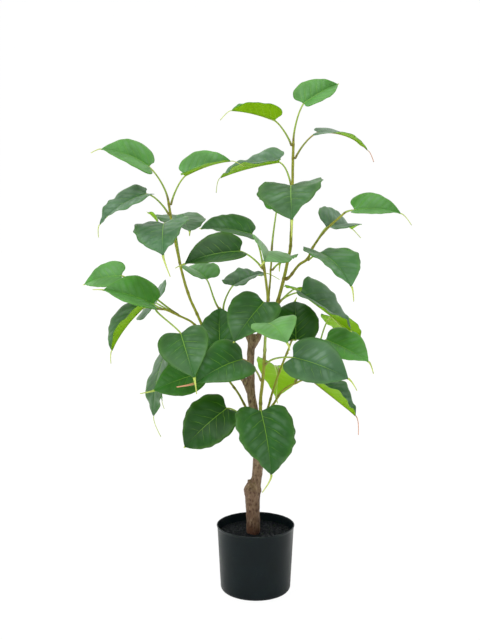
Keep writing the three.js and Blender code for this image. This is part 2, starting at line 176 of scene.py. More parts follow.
LEAVES = {
    "trunk": [
        leaf(0.599, (104, -86, 43), (109, -70, -62), (33, -155, -60),
             roll=-5, fold=6, wide=1.03, arch=0.05, twist=-16, blunt=0.25, tint="dark", wave=1.3),
        leaf(0.634, (83, -137, 34), (97, -167, -41),
             roll=-49, fold=19, wide=0.91, twist=-23, blunt=0.5, tint="deep"),
    ],
    "front_stem": [
        leaf(0.486, (69, -128, 39), (99, -146, -18), (31, -167, -10),
             roll=-47, fold=25, wide=0.9, arch=0.13, tint="dark", wave=0.3, tail="pink"),
        leaf(0.576, (71, -46, 16), (99, -16, -18), (25, -14, -52),
             roll=43, fold=16, wide=0.92, twist=11, tint="grey", wave=0.4),
        leaf(0.609, (120, -86, 37), (69, -65, -19), (13, -46, -62),
             roll=12, fold=18, wide=1.13, arch=0.1, twist=12, tint="light", wave=0.4),
        leaf(0.794, (32, -116, 67), (91, -137, -42),
             roll=-25, fold=17, wide=1.02, arch=0.05, twist=6, tint="dark", wave=0.5),
        leaf(0.975, (79, 114, 49), (90, -169, 7),
             roll=-29, fold=22, wide=0.88, arch=0.06, twist=4, blunt=0.5, tint="dark", wave=0.5),
        leaf(0.985, (53, -155, 34), (95, -171, -12), (18, -178, -24),
             roll=-37, fold=28, wide=0.84, twist=-5, tint="deep", wave=0.3),
        leaf(1, (25, -44, 63), (73, -96, -10), (12, -150, -41),
             roll=-29, fold=30, wide=1.2, arch=0.02, twist=-12, blunt=0.1, tint="light", wave=0.4),
    ],
    "centre_twig": [
        leaf(0.712, (35, 0, 38), (50, -105, -7), (15, -104, -67), wide=0.9, tint="light"),
        leaf(1, (86, 78, 58), (72, 85, 33), roll=-10, wide=0.68, tint="fresh", wave=0.4),
    ],
    "leader": [
        leaf(0.419, (53, 40, 29), (65, 58, -26), tint="light"),
        leaf(0.439, (44, -21, 20), (109, -4, -37),
             roll=21, fold=30, wide=1.1, arch=0, twist=-21, blunt=0.3, tint="grey"),
        leaf(0.805, (41, -96, 45), (116, -91, -28), (30, -93, -70),
             roll=6, fold=14, wide=0.97, arch=0.08, twist=14, tint="dark", wave=1.3),
        leaf(0.842, (69, 114, 39), (110, 167, -14), (28, 165, -73),
             roll=-16, fold=26, wide=0.95, arch=0.03, twist=6, tint="grey", wave=1.4),
        leaf(0.935, (60, 4, 46), (90, -1, -19), (23, 0, -61),
             roll=15, fold=7, wide=0.86, arch=0.12, twist=-24, tint="grey", wave=0.4, tail="pink"),
        leaf(0.985, (54, -151, 48), (77, -162, 11), (25, -170, -39),
             roll=4, fold=44, wide=0.98, arch=0.04, twist=-9, blunt=0.4, tint="fresh", wave=0.4),
        leaf(1, (65, 10, 75), (76, 27, 28),
             roll=30, fold=26, wide=0.94, arch=0.04, twist=7, blunt=0.1, tint="fresh", wave=0.4),
    ],
    "right_bough": [
        leaf(0.496, (28, -38, 25), (106, -60, -28), (26, -64, -71),
             roll=-1, fold=21, wide=0.93, arch=0.08, twist=1, blunt=0.1),
        leaf(0.647, (56, 55, 37), (97, 57, -3), (25, 22, -42),
             roll=31, fold=37, wide=0.94, twist=-12, blunt=0.5, tint="grey", wave=0.6),
        leaf(1, (18, 10, 18), (80, -1, -4), (28, 1, -46),
             roll=31, fold=26, wide=0.92, twist=2, tint="fresh", wave=0.3),
    ],
    "left_bough": [
        leaf(0.797, (111, 98, 47), (98, -72, -15), (9, -90, -73),
             roll=3, fold=4, wide=0.88, arch=0.03, twist=-6, blunt=0.3, tint="dark"),
        leaf(0.887, (33, 150, 20), (52, 120, 26), roll=60, wide=0.45, wave=0.2),
        leaf(0.91, (40, -106, 8), (99, -86, -29), (39, -48, -61),
             roll=10, fold=19, wide=0.99, arch=0.08, twist=12, blunt=0.1, tint="grey", wave=1.4),
        leaf(0.952, (62, -135, 34), (95, -162, -32), (22, -136, -81),
             roll=-19, fold=13, wide=0.82, arch=0.09, twist=6, blunt=0.1, tint="grey", wave=1.3),
        leaf(0.985, (57, -5, 60), (82, 4, 18), (25, 3, -21),
             roll=23, fold=43, wide=0.99, arch=0.05, twist=8, blunt=0.1, tint="fresh", wave=0.4),
        leaf(1, (68, -140, 56), (85, -167, 20), (19, -176, -20),
             roll=-35, fold=16, wide=0.98, arch=0.09, twist=-2, tint="fresh", wave=0.3),
    ],
    "low_left_bough": [
        leaf(0.607, (125, 167, 33), (72, 168, -13), (4, 174, -25),
             roll=-36, fold=16, wide=1.01, tint="fresh", wave=0.3),
        leaf(0.699, (51, 132, 15), (94, 100, -4),
             roll=-54, fold=8, wide=0.95, arch=0.05, tint="grey", wave=0.5),
        leaf(0.915, (43, 148, -1), (94, -141, -47), (23, -111, -80),
             roll=9, fold=37, wide=1.1, arch=0.05, twist=17, blunt=0.2, tint="dark", wave=0.6),
        leaf(0.967, (25, -113, 24), (88, -175, 17), (19, -176, 2),
             roll=-28, fold=29, wide=1.03, arch=0.06, twist=-13, tint="fresh", wave=0.3),
        leaf(1, (71, -47, -31), (100, -70, -38), (28, -64, -68),
             roll=22, wide=0.88, twist=3, tint="dark", wave=0.3),
    ],
    "right_stem": [
        leaf(0.667, (47, 99, 3), (114, 87, -42), (13, 44, -70),
             roll=18, fold=18, wide=0.78, arch=0.09, twist=-3, wave=0.6),
        leaf(1, (13, 49, 3), (77, 91, 58), (9, 30, 62),
             roll=-2, fold=23, wide=1.17, arch=0.09, twist=-2, blunt=0.3, tint="deep", wave=0.5),
    ],
    "low_right_stem": [
        leaf(0.744, (93, 2, 56), (93, -39, -18), (23, -34, -63),
             roll=30, fold=13, wide=0.85, arch=0.04, twist=-5, tint="fresh", wave=0.4),
        leaf(0.885, (147, 59, 43), (95, 38, -40), roll=-14, fold=10, wide=0.76, arch=0.01, twist=24),
        leaf(1, (10, 56, -18), (102, -18, -36), (35, -28, -80),
             roll=9, fold=46, wide=0.97, arch=0, twist=-16, tint="grey", wave=1.3, tail="pink"),
    ],
    "back_left_stem": [
        leaf(0.682, (71, -100, 50), (76, 93, 64),
             roll=-17, fold=25, wide=0.93, arch=0.08, twist=2, blunt=0.5, tint="dark", wave=0.7),
        leaf(0.754, (44, -159, -3), (83, -168, -19), (26, -176, -12),
             roll=-40, fold=7, wide=0.92, arch=0.04, twist=-10, tint="vivid", wave=0.3),
        leaf(0.895, (104, 155, 6), (117, -141, -76), (41, -10, -71),
             roll=20, fold=0, wide=0.74, arch=0.06, twist=-17, blunt=0.3, tint="dark", wave=1.1),
        leaf(1, (130, 128, -2), (98, 165, -77), (17, 4, -76), roll=-30, fold=8),
    ],
    "upper_left_twig": [
        leaf(0.749, (52, 38, 64), (78, 40, 14), (30, 15, -23),
             roll=3, fold=20, wide=0.91, arch=0.05, twist=8, blunt=0.2, tint="grey", wave=1.3),
        leaf(1, (64, 127, 52), (86, 122, 10),
             roll=-5, fold=27, wide=0.87, arch=0.08, twist=4, tint="fresh", wave=0.5),
    ],
}

# ---------- Sizes and colours that a user may change ----------


def length(name, description, default):
    """A size in metres."""
    return bpy.props.FloatProperty(
        name=name, description=description, default=default, min=0, precision=4, unit="LENGTH"
    )


def colour(name, description, *shown):
    """A colour, given by its screen values."""
    return bpy.props.FloatVectorProperty(
        name=name, description=description, default=tone(*shown), min=0, max=1, size=3, subtype="COLOR"
    )


def amount(name, description, default):
    return bpy.props.FloatProperty(name=name, description=description, default=default, min=0)


class PotSettings(bpy.types.PropertyGroup):
    """Sizes and colours of the pot and its fill."""

    height: length("Height", "From the underside to the top of the lip", POT_BOX[1].z)
    rim_radius: length("Rim radius", "Outside of the lip", POT_BOX[1].x)
    top_radius: length("Top radius", "Outside of the wall just under the lip", 0.0684)
    foot_radius: length("Foot radius", "Outside of the wall at the foot", 0.0628)
    lip_height: length("Lip height", "Height of the flared lip", 0.0045)
    corner: length("Corner", "Radius of the rounded foot", 0.008)
    wall: length("Wall", "Thickness of the wall", 0.0018)
    fill_top: length("Fill top", "Height of the fill's surface", FILL_BOX[1].z)
    plastic: colour("Plastic", "Colour of the pot", 5, 16, 19)
    # This colour also paints the highlight along the top of the lip.
    scuffs_and_lip_highlight: colour("Worn plastic", "Colour of its scuffs", 96, 104, 105)
    granules: colour("Granules", "Colour of the fill", 4, 8, 12)


class TrunkSettings(bpy.types.PropertyGroup):
    """Relief and colours of the trunk."""

    relief: length("Relief", "Height of the bark's relief", 0.0007)
    voxel: length("Mesh size", "Size of the faces of the bark", 0.0011)
    bark: colour("Bark", "Main colour", 122, 98, 74)
    pale: colour("Pale bark", "Colour of the worn fibres", 156, 134, 110)
    dark: colour("Dark bark", "Colour of pits and cracks", 62, 38, 26)
    russet: colour("Russet bark", "Warmer colour of the lower trunk", 96, 66, 46)
    foot: colour("Foot", "Colour of the foot of the trunk", 82, 46, 28)


class StemSettings(bpy.types.PropertyGroup):
    """Colours of the boughs, twigs and leaf stalks."""

    stem: colour("Stem", "Main colour of a stem", 130, 128, 40)
    young: colour("Young stem", "Colour towards a stem's tip", 150, 156, 48)
    node: colour("Node", "Colour at the nodes", 104, 70, 34)
    stalk: colour("Stalk", "Colour of a leaf stalk", 150, 180, 66)
    stalk_foot: colour("Stalk foot", "Colour of a stalk where it leaves the stem", 122, 116, 44)
    pale_tip: colour("Pale tip", "Colour of most drip tips", 190, 206, 100)
    pink_tip: colour("Pink tip", "Colour of a few drip tips", 214, 150, 116)


class LeafSettings(bpy.types.PropertyGroup):
    """Sizes and colours of the leaves."""

    thickness: length("Thickness", "Thickness of a blade", 0.0006)
    quilting: length("Quilting", "How far a blade swells between its veins", 0.0004)
    ripple: length("Ripple", "How far a blade's edge waves", 0.0022)
    deep: colour("Deep", "Darkest leaves", 24, 76, 4)
    dark: colour("Dark", "Dark leaves", 42, 96, 32)
    mid: colour("Mid", "Leaves between dark and fresh", 58, 116, 52)
    # The grey leaves also take the strongest painted sheen.
    grey: colour("Grey", "Leaves with a greyish bloom", 66, 112, 68)
    fresh: colour("Fresh", "Fresh green leaves", 74, 142, 48)
    light: colour("Light", "The palest leaves", 94, 152, 74)
    vivid: colour("Vivid", "A bright leaf that catches the light", 38, 108, 4)
    # Painted sheen: the greyish light that the swelling upper faces reflect between their veins.
    painted_sheen: colour("Bloom", "Greyish bloom between the veins", 122, 152, 128)
    under: colour("Underside", "Underside of every leaf", 128, 177, 2)
    vein: colour("Veins", "Veins on the upper face", 122, 172, 52)
    under_vein: colour("Underside veins", "Veins on the underside", 168, 200, 84)


class StageSettings(bpy.types.PropertyGroup):
    """Camera, floor and light."""

    distance: length("Camera distance", "How far the camera stands in front of the pot", 1.697)
    height: length("Camera height", "Height of the camera", 0.7014)
    lens: amount("Lens", "Focal length in millimetres", 55.1)
    floor: colour("Floor", "Colour of the floor", 253, 253, 253)
    front: amount("Front surround", "Strength of the surround on the camera's side", 0.25)
    back: amount("Back surround", "Strength of the white surround behind the plant", 1.2)
    overhead: amount("Overhead light", "Strength of the broad light from above", 2.3)


SETTINGS = {
    "bodhi_pot": PotSettings,
    "bodhi_trunk": TrunkSettings,
    "bodhi_stems": StemSettings,
    "bodhi_leaves": LeafSettings,
    "bodhi_stage": StageSettings,
}

# ---------- Centre lines ----------


def mix(a, b, share):
    return a + (b - a) * share


def clamp(value):
    return max(0.0, min(1.0, value))


def smooth(low, high, value):
    share = clamp((value - low) / (high - low))
    return share * share * (3 - 2 * share)


def ray(size, heading, pitch):
    heading = math.radians(heading)
    pitch = math.radians(pitch)
    level = math.cos(pitch)
    return Vector((level * math.cos(heading), level * math.sin(heading), math.sin(pitch))) * size


def square_to(vector, axis):
    """The part of a vector that is square to an axis, with length one."""
    return (vector - axis * vector.dot(axis)).normalized()


class CentreLine:
    """A smooth line through points, with a radius that changes evenly between its values."""

    def __init__(self, points, radii):
        self.points = [Vector(p) for p in points]
        self.radii = radii

    def point(self, share):
        points = self.points
        last = len(points) - 1
        place = share * last
        i = min(int(place), last - 1)
        t = place - i
        before = points[i - 1] if i > 0 else points[0] * 2 - points[1]
        after = points[i + 2] if i + 2 <= last else points[last] * 2 - points[last - 1]
        start, end = points[i], points[i + 1]
        leave_by, arrive_by = (end - before) / 2, (after - start) / 2
        square, cube = t * t, t * t * t
        return (
            start
            + leave_by * t
            + (end * 3 - start * 3 - leave_by * 2 - arrive_by) * square
            + (start * 2 - end * 2 + leave_by + arrive_by) * cube
        )

    def heading(self, share):
        step = 1e-3
        low, high = max(0.0, share - step), min(1.0, share + step)
        return (self.point(high) - self.point(low)).normalized()

    def radius(self, share):
        place = share * (len(self.radii) - 1)
        i = min(int(place), len(self.radii) - 2)
        return mix(self.radii[i], self.radii[i + 1], place - i)


GAP = 0.3  # between the solid of a limb or stalk and the solid that carries it
LEAD = 4  # how far a limb goes straight out before it bends to its path, in radii of its foot
STALK_RADIUS = 1.6
STALK_LEAN = 0.9  # how much a stalk leaves along its limb, beside straight towards its blade


def leave(carrier, at, heading, radius):
    """Where a round piece leaves a limb, and its direction there."""
    axis = carrier.point(at)
    forward = carrier.heading(at)
    if at == 1:
        return axis + forward * GAP, forward
    out = square_to(heading, forward)
    slant = heading.dot(out)
    return axis + out * (carrier.radius(at) + GAP + radius * math.sqrt(1 - slant * slant)), heading


def make_lines():
    lines = {"trunk": CentreLine([row[:3] for row in TRUNK], [row[3] for row in TRUNK])}
    lines["trunk"].points[0].z = TRUNK_FOOT
    for name, (path, foot, tip) in SPURS.items():
        lines[name] = CentreLine(path, [foot, tip])
    for name, (carrier, at, path, foot, tip) in LIMBS.items():
        on = lines[carrier]
        bound = (Vector(path[0]) - on.point(at)).normalized()
        start, heading = leave(on, at, bound, foot)
        lines[name] = CentreLine([start, start + heading * foot * LEAD, *path], [foot, tip])
    return lines


LINES = make_lines()

# ---------- Mesh helpers ----------


def ring_edges(ring):
    inside = set(ring)
    touching = dict.fromkeys(edge for vert in ring for edge in vert.link_edges)
    return [edge for edge in touching if edge.verts[0] in inside and edge.verts[1] in inside]


def placed(point, side, forward, half_width, half_depth):
    """The matrix that lays a unit circle square to a direction, as wide and deep as asked."""
    side = square_to(side, forward)
    matrix = Matrix((side * half_width, forward.cross(side) * half_depth, forward)).transposed().to_4x4()
    matrix.translation = point
    return matrix


def sweep(bm, stations, sides, side, marks=None):
    """A closed tube. A station is a point, a half width, a half depth and a mark for its corners."""
    points = [station[0] for station in stations]
    last = len(points) - 1
    ring = None
    for i, (point, half_width, half_depth, mark) in enumerate(stations):
        forward = (points[min(i + 1, last)] - points[max(i - 1, 0)]).normalized()
        side = square_to(side, forward)
        frame_here = placed(point, side, forward, half_width, half_depth)
        if ring is None:
            ring = bmesh.ops.create_circle(
                bm, cap_ends=True, segments=sides, radius=1, matrix=frame_here
            )["verts"]
        else:
            new = bmesh.ops.extrude_edge_only(bm, edges=ring_edges(ring))["geom"]
            ring = [item for item in new if isinstance(item, bmesh.types.BMVert)]
            bmesh.ops.transform(bm, matrix=frame_here @ frame_before.inverted(), verts=ring)
        frame_before = frame_here
        if marks is not None:
            for vert in ring:
                vert[marks] = mark
    bmesh.ops.edgeloop_fill(bm, edges=ring_edges(ring))


def spun(bm, profile, steps):
    """Turns a half profile of (radius, height) about the Z axis into a closed skin."""
    verts = [bm.verts.new((radius, 0, z)) for radius, z in profile]
    edges = [bm.edges.new(pair) for pair in zip(verts, verts[1:])]
    bmesh.ops.spin(
        bm,
        geom=verts + edges,
        cent=(0, 0, 0),
        axis=(0, 0, 1),
        angle=math.tau,
        steps=steps,
        use_merge=True,
    )
    bmesh.ops.remove_doubles(bm, verts=bm.verts, dist=0.001)
    bmesh.ops.recalc_face_normals(bm, faces=bm.faces)


def finished(bm, name, materials, stands_for):
    """Brings a piece to metres, makes its object, and lets it ride for the solids it replaces."""
    bmesh.ops.scale(bm, vec=(MM, MM, MM), verts=bm.verts)
    for face in bm.faces:
        face.smooth = True
    mesh = bpy.data.meshes.new(name)
    bm.to_mesh(mesh)
    bm.free()
    for material in materials:
        mesh.materials.append(material)
    piece = bpy.data.objects.new(name, mesh)
    bpy.context.scene.collection.objects.link(piece)
    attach(piece, BODY)
    if stands_for:
        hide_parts(*stands_for)
    return piece


# ---------- Material helpers ----------


def add(tree, kind, inputs=None, **settings):
    """A new shader node. An input that is given a socket is linked to it."""
    node = tree.nodes.new("ShaderNode" + kind)
    for key, value in settings.items():
        setattr(node, key, value)
    for key, value in (inputs or {}).items():
        if isinstance(value, bpy.types.NodeSocket):
            tree.links.new(value, node.inputs[key])
        else:
            node.inputs[key].default_value = value
    return node


def maths(tree, operation, *values):
    return add(tree, "Math", dict(enumerate(values)), operation=operation).outputs[0]


def times(tree, product, *others):
    for other in others:
        product = maths(tree, "MULTIPLY", product, other)
    return product


def plus(tree, first, second):
    return maths(tree, "ADD", first, second)


def minus(tree, first, second):
    return maths(tree, "SUBTRACT", first, second)


def raised(tree, value, mask, more):
    """A value to which a mask adds up to so much more."""
    return plus(tree, value, times(tree, mask, more))


def eased(tree, value, low, high, start=0.0, end=1.0):
    """A value carried smoothly from one range to another."""
    inputs = {"Value": value, "From Min": low, "From Max": high, "To Min": start, "To Max": end}
    return add(tree, "MapRange", inputs, interpolation_type="SMOOTHSTEP").outputs["Result"]


def faded(tree, value, low, high, end=0.0):
    """One up to the low value, and down smoothly to the end value at the high one."""
    return eased(tree, value, low, high, 1.0, end)


def own_place(tree):
    """The piece's own coordinates."""
    return add(tree, "TexCoord").outputs["Object"]


def parted(tree, vector):
    return add(tree, "SeparateXYZ", {0: vector}).outputs


def marked(tree, name):
    """The three values that a mesh carries at its corners under a name."""
    return parted(tree, add(tree, "Attribute", attribute_name=name).outputs["Vector"])


def stretched(tree, factors):
    """The piece's own coordinates times a factor along each axis."""
    return add(tree, "VectorMath", {0: own_place(tree), 1: factors}, operation="MULTIPLY").outputs[0]


def rgba(shown):
    return (*shown[:3], 1)


def dimmed(shown, factor):
    """A darker or lighter shade of a colour."""
    return [v * factor for v in shown]


def between(first, second, share):
    return [mix(a, b, share) for a, b in zip(first, second)]


def blended(tree, share, first, second):
    """The colour between two colours."""
    node = add(tree, "Mix", data_type="RGBA")
    for socket, value in ((node.inputs[0], share), (node.inputs[6], first), (node.inputs[7], second)):
        if isinstance(value, bpy.types.NodeSocket):
            tree.links.new(value, socket)
        else:
            socket.default_value = rgba(value)
    return node.outputs[2]


def coated(tree, base, *coats):
    """A base colour under coats. Each is a mask, how strongly the coat shows there, and its colour."""
    for mask, strength, shade in coats:
        base = blended(tree, times(tree, mask, strength), base, shade)
    return base


def cloudy(tree, vector, scale, detail=3.0, roughness=0.55):
    inputs = {"Vector": vector, "Scale": scale, "Detail": detail, "Roughness": roughness}
    return add(tree, "TexNoise", inputs).outputs["Fac"]


def clouds(tree, vector, scale, low, high, detail=3.0, roughness=0.55):
    """Soft patches: the parts of a cloudy pattern between a low and a high value."""
    return eased(tree, cloudy(tree, vector, scale, detail, roughness), low, high)


def new_group(name, inputs, outputs):
    """A shader node group with named number inputs and outputs, and its two end nodes."""
    tree = bpy.data.node_groups.new(name, "ShaderNodeTree")
    for socket, default in inputs.items():
        made = tree.interface.new_socket(name=socket, in_out="INPUT", socket_type="NodeSocketFloat")
        made.default_value = default
    for socket in outputs:
        tree.interface.new_socket(name=socket, in_out="OUTPUT", socket_type="NodeSocketFloat")
    return tree, tree.nodes.new("NodeGroupInput").outputs, tree.nodes.new("NodeGroupOutput").inputs


def mottle_group():
    """Soft blotches and a fine grain on a piece's own coordinates."""
    inputs = {"Scale": 40.0, "Grain": 900.0, "Stretch": 1.0, "Detail": 3.0}
    tree, given, result = new_group("Mottle", inputs, ["Blotch", "Grain"])
    factors = add(tree, "CombineXYZ", {"X": 1.0, "Y": 1.0, "Z": given["Stretch"]}).outputs[0]
    place = stretched(tree, factors)
    tree.links.new(clouds(tree, place, given["Scale"], 0.32, 0.68, given["Detail"]), result["Blotch"])
    tree.links.new(cloudy(tree, place, given["Grain"], 2.0), result["Grain"])
    return tree


# A blade's veins, in blade lengths.
VEIN_SLANTS = (0.36, 0.6)  # how steeply a side vein climbs, near the base and further up
VEIN_BEND = 0.22  # how much it steepens on its way to the edge
VEIN_COUNT = 6.4  # side veins in one blade length
VEIN_STAGGER = 0.4  # how far the left-hand veins are from the right-hand ones
VEIN_WANDER = 0.05  # how far they stray from their line
VEIN_SOFT = 2.4  # where a vein has faded out, in vein widths
FINE_LINES = 3  # fine lines from one side vein to the next
MIDRIB_HALF = 0.0085  # half width of the midrib at its foot
MIDRIB_TAPER = 0.006  # how much of that it loses up to the tip


def vein_group():
    """Veins of a blade, drawn on its flat coordinates, which the attribute named blade holds."""
    outputs = ["Midrib", "Side veins", "Fine lines", "Swell", "Margin"]
    tree, given, result = new_group("Leaf veins", {"Width": 0.004}, outputs)
    flat = marked(tree, "blade")
    place = own_place(tree)
    across = maths(tree, "ABSOLUTE", flat["X"])
    forth, far = flat["Y"], flat["Z"]

    # The level is where a point's side vein leaves the midrib, and it counts the veins.
    slant = eased(tree, forth, 0.0, 0.4, *VEIN_SLANTS)
    climb = times(tree, across, raised(tree, slant, across, VEIN_BEND))
    wander = times(tree, minus(tree, cloudy(tree, place, 90.0, 1.0), 0.5), VEIN_WANDER)
    level = plus(tree, minus(tree, forth, climb), wander)
    left = times(tree, maths(tree, "LESS_THAN", flat["X"], 0.0), VEIN_STAGGER)
    phase = raised(tree, left, level, VEIN_COUNT)
    near = maths(tree, "DIVIDE", maths(tree, "PINGPONG", phase, 0.5), VEIN_COUNT)

    nearest = maths(tree, "MINIMUM", near, maths(tree, "ABSOLUTE", level))
    line = faded(tree, nearest, given["Width"], times(tree, given["Width"], VEIN_SOFT))
    inner = faded(tree, far, 0.3, 0.85)
    lower = faded(tree, forth, 0.5, 0.85)
    patchy = eased(tree, cloudy(tree, place, 45.0, 2.0), 0.36, 0.6, 0.25, 1.0)
    within = maths(tree, "GREATER_THAN", level, -0.02)
    tree.links.new(times(tree, line, inner, lower, patchy, within), result["Side veins"])

    half = minus(tree, MIDRIB_HALF, times(tree, forth, MIDRIB_TAPER))
    rib = faded(tree, across, times(tree, half, 0.55), half)
    tree.links.new(times(tree, rib, faded(tree, forth, 0.45, 0.85, 0.15)), result["Midrib"])

    fine = eased(tree, maths(tree, "SINE", times(tree, phase, math.tau * FINE_LINES)), 0.2, 1.0)
    some = clouds(tree, place, 60.0, 0.42, 0.62, 1.0)
    tree.links.new(times(tree, fine, some, faded(tree, far, 0.05, 0.9)), result["Fine lines"])

    # Swell, the quilting between the veins, also places the painted sheen of the upper faces.
    swell = times(tree, eased(tree, near, 0.0, 0.06), eased(tree, far, 0.03, 0.2))
    swell = times(tree, swell, clouds(tree, place, 38.0, 0.38, 0.66, 2.0))
    swell = times(tree, swell, faded(tree, far, 0.6, 1.0, 0.25), faded(tree, forth, 0.7, 1.0, 0.2))
    tree.links.new(swell, result["Swell"])
    tree.links.new(eased(tree, far, 0.72, 1.0), result["Margin"])
    return tree


def bark_group():
    """Lengthwise fibres, blotches, pits and small flecks."""
    outputs = ["Fibres", "Blotches", "Pits", "Flecks"]
    tree, given, result = new_group("Bark", {"Fibre": 260.0, "Pits": 420.0}, outputs)
    place = own_place(tree)
    drawn = stretched(tree, (1.0, 1.0, 0.22))
    long = stretched(tree, (1.0, 1.0, 0.45))
    pits = add(tree, "TexVoronoi", {"Vector": drawn, "Scale": given["Pits"], "Randomness": 1.0})
    ragged = raised(tree, pits.outputs["Distance"], cloudy(tree, place, 300.0), 0.5)
    tree.links.new(clouds(tree, drawn, given["Fibre"], 0.35, 0.65, 4.0, 0.62), result["Fibres"])
    tree.links.new(clouds(tree, place, 95.0, 0.4, 0.66, 3.0, 0.6), result["Blotches"])
    tree.links.new(faded(tree, ragged, 0.34, 0.52), result["Pits"])
    tree.links.new(clouds(tree, long, 330.0, 0.53, 0.66, 2.0, 0.5), result["Flecks"])
    return tree


def scuff_group():
    """Thin scratches and rubbed patches on moulded plastic."""
    tree, given, result = new_group("Scuffs", {"Amount": 0.5}, ["Scuffs"])
    scratch = clouds(tree, stretched(tree, (1.0, 1.0, 6.0)), 240.0, 0.62, 0.74, 4.0, 0.7)
    patch = clouds(tree, own_place(tree), 30.0, 0.5, 0.7)
    tree.links.new(times(tree, scratch, patch, given["Amount"]), result["Scuffs"])
    return tree


GROUPS = {}


def place_group(tree, name, **values):
    """Puts a shared group in a material with its own values, and gives its outputs."""
    if not GROUPS:
        made = {"mottle": mottle_group, "veins": vein_group, "bark": bark_group, "scuffs": scuff_group}
        GROUPS.update({key: build() for key, build in made.items()})
    node = tree.nodes.new("ShaderNodeGroup")
    node.node_tree = GROUPS[name]
    for key, value in values.items():
        node.inputs[key].default_value = value
    return node.outputs


def new_material(name, **constants):
    """A material with a Principled shader whose plain values are set on its own sockets."""
    material = bpy.data.materials.new(name)
    material.use_nodes = True
    tree = material.node_tree
    shader = tree.nodes["Principled BSDF"]
    for key, value in constants.items():
        shader.inputs[key.replace("_", " ")].default_value = value
    return material, tree, shader


def roughen(tree, shader, height, strength, distance):
    """Feeds a height pattern to the shader's normal."""
    inputs = {"Height": height, "Strength": strength, "Distance": distance}
    tree.links.new(add(tree, "Bump", inputs).outputs["Normal"], shader.inputs["Normal"])


def paint(tree, shader, **sources):
    for key, source in sources.items():
        tree.links.new(source, shader.inputs[key.replace("_", " ")])


# ---------- Materials ----------

LIP_HIGHLIGHT_AND_WEAR = (1.4, 0.2)  # how far below the top of the lip its wear and painted highlight begin and are full
RUSSET_HEIGHTS = (40, 170)  # above the trunk's foot, where the russet bark begins and ends to fade
FOOT_HEIGHT = 26  # above the trunk's foot, where the colour of the foot has faded


def plastic_material(settings):
    material, tree, shader = new_material("black plastic", Specular_IOR_Level=0.135)
    mottle = place_group(tree, "mottle", Scale=28.0, Grain=300.0)
    scuffs = place_group(tree, "scuffs", Amount=0.35)["Scuffs"]
    begin, full = (settings.height - drop * MM for drop in LIP_HIGHLIGHT_AND_WEAR)
    # Painted highlight mixed with wear: the top of the lip is painted lighter, in blotches.
    lip = eased(tree, parted(tree, own_place(tree))["Z"], begin, full, 0.0, 0.6)
    scuffs_and_lip_highlight = raised(tree, scuffs, times(tree, lip, mottle["Blotch"]), 0.5)
    lighter = dimmed(settings.plastic, 1.35)
    base = coated(tree, settings.plastic, (mottle["Blotch"], 1.0, lighter), (scuffs_and_lip_highlight, 1.0, settings.scuffs_and_lip_highlight))
    rough = raised(tree, raised(tree, 0.32, mottle["Blotch"], 0.1), scuffs_and_lip_highlight, 0.2)
    paint(tree, shader, Base_Color=base, Roughness=rough)
    roughen(tree, shader, mottle["Grain"], 0.1, 0.0004)
    return material


def granule_material(settings):
    material, tree, shader = new_material("dark granules", Specular_IOR_Level=0.2)
    mottle = place_group(tree, "mottle", Scale=520.0, Grain=900.0)
    # Lighter specks on the granules: partly their own grey and partly painted glints.
    base = blended(tree, mottle["Blotch"], settings.granules, dimmed(settings.granules, 3))
    paint(tree, shader, Base_Color=base, Roughness=raised(tree, 0.5, mottle["Grain"], 0.4))
    roughen(tree, shader, mottle["Grain"], 0.3, 0.0005)
    return material


def bark_material(settings):
    material, tree, shader = new_material("bark", Specular_IOR_Level=0.3)
    height = parted(tree, own_place(tree))["Z"]
    bark = place_group(tree, "bark")
    lower = faded(tree, height, *((TRUNK_FOOT + rise) * MM for rise in RUSSET_HEIGHTS))
    low = faded(tree, height, TRUNK_FOOT * MM, (TRUNK_FOOT + FOOT_HEIGHT) * MM)
    base = coated(
        tree,
        settings.bark,
        (bark["Fibres"], 1.0, settings.pale),
        (bark["Blotches"], 0.45, settings.dark),
        (bark["Pits"], 0.6, settings.dark),
        (lower, 0.45, settings.russet),
        (low, 0.7, settings.foot),
        (bark["Flecks"], 0.75, settings.dark),
    )
    paint(tree, shader, Base_Color=base, Roughness=raised(tree, 0.6, bark["Fibres"], 0.22))
    roughen(tree, shader, raised(tree, bark["Fibres"], bark["Pits"], -0.8), 0.5, 0.0005)
    return material


def stem_material(settings):
    """A limb's material, whose run counts 0 to 1 along it and marks its nodes."""
    material, tree, shader = new_material("stem", Specular_IOR_Level=0.3)
    mottle = place_group(tree, "mottle", Scale=120.0, Grain=400.0, Stretch=0.4)
    run = marked(tree, "run")
    base = coated(
        tree,
        settings.stem,
        (eased(tree, run["X"], 0.0, 0.7), 1.0, settings.young),
        (mottle["Blotch"], 0.18, settings.node),
        (run["Y"], 0.4, settings.node),
    )
    paint(tree, shader, Base_Color=base, Roughness=raised(tree, 0.45, mottle["Blotch"], 0.15))
    roughen(tree, shader, mottle["Grain"], 0.15, 0.0004)
    return material


def stalk_material(name, settings, tip, ruddy):
    """A leaf's stalk, rib and drip tip, whose run counts 0 to 1, to 2 and to 3 along them."""
    material, tree, shader = new_material(name, Specular_IOR_Level=0.4)
    mottle = place_group(tree, "mottle", Scale=90.0, Grain=400.0)
    run = marked(tree, "run")["X"]
    main = between(settings.stalk, settings.node, ruddy)
    base = coated(
        tree,
        settings.stalk_foot,
        (eased(tree, run, 0.0, 0.3), 1.0, main),
        (eased(tree, run, 0.4, 1.0), 1.0, between(main, tip, 0.35)),
        (eased(tree, run, 2.0, 2.6), 1.0, tip),
        (mottle["Blotch"], 0.2, settings.stalk_foot),
    )
    paint(tree, shader, Base_Color=base, Roughness=raised(tree, 0.4, mottle["Blotch"], 0.12))
    roughen(tree, shader, mottle["Grain"], 0.08, 0.0003)
    return material


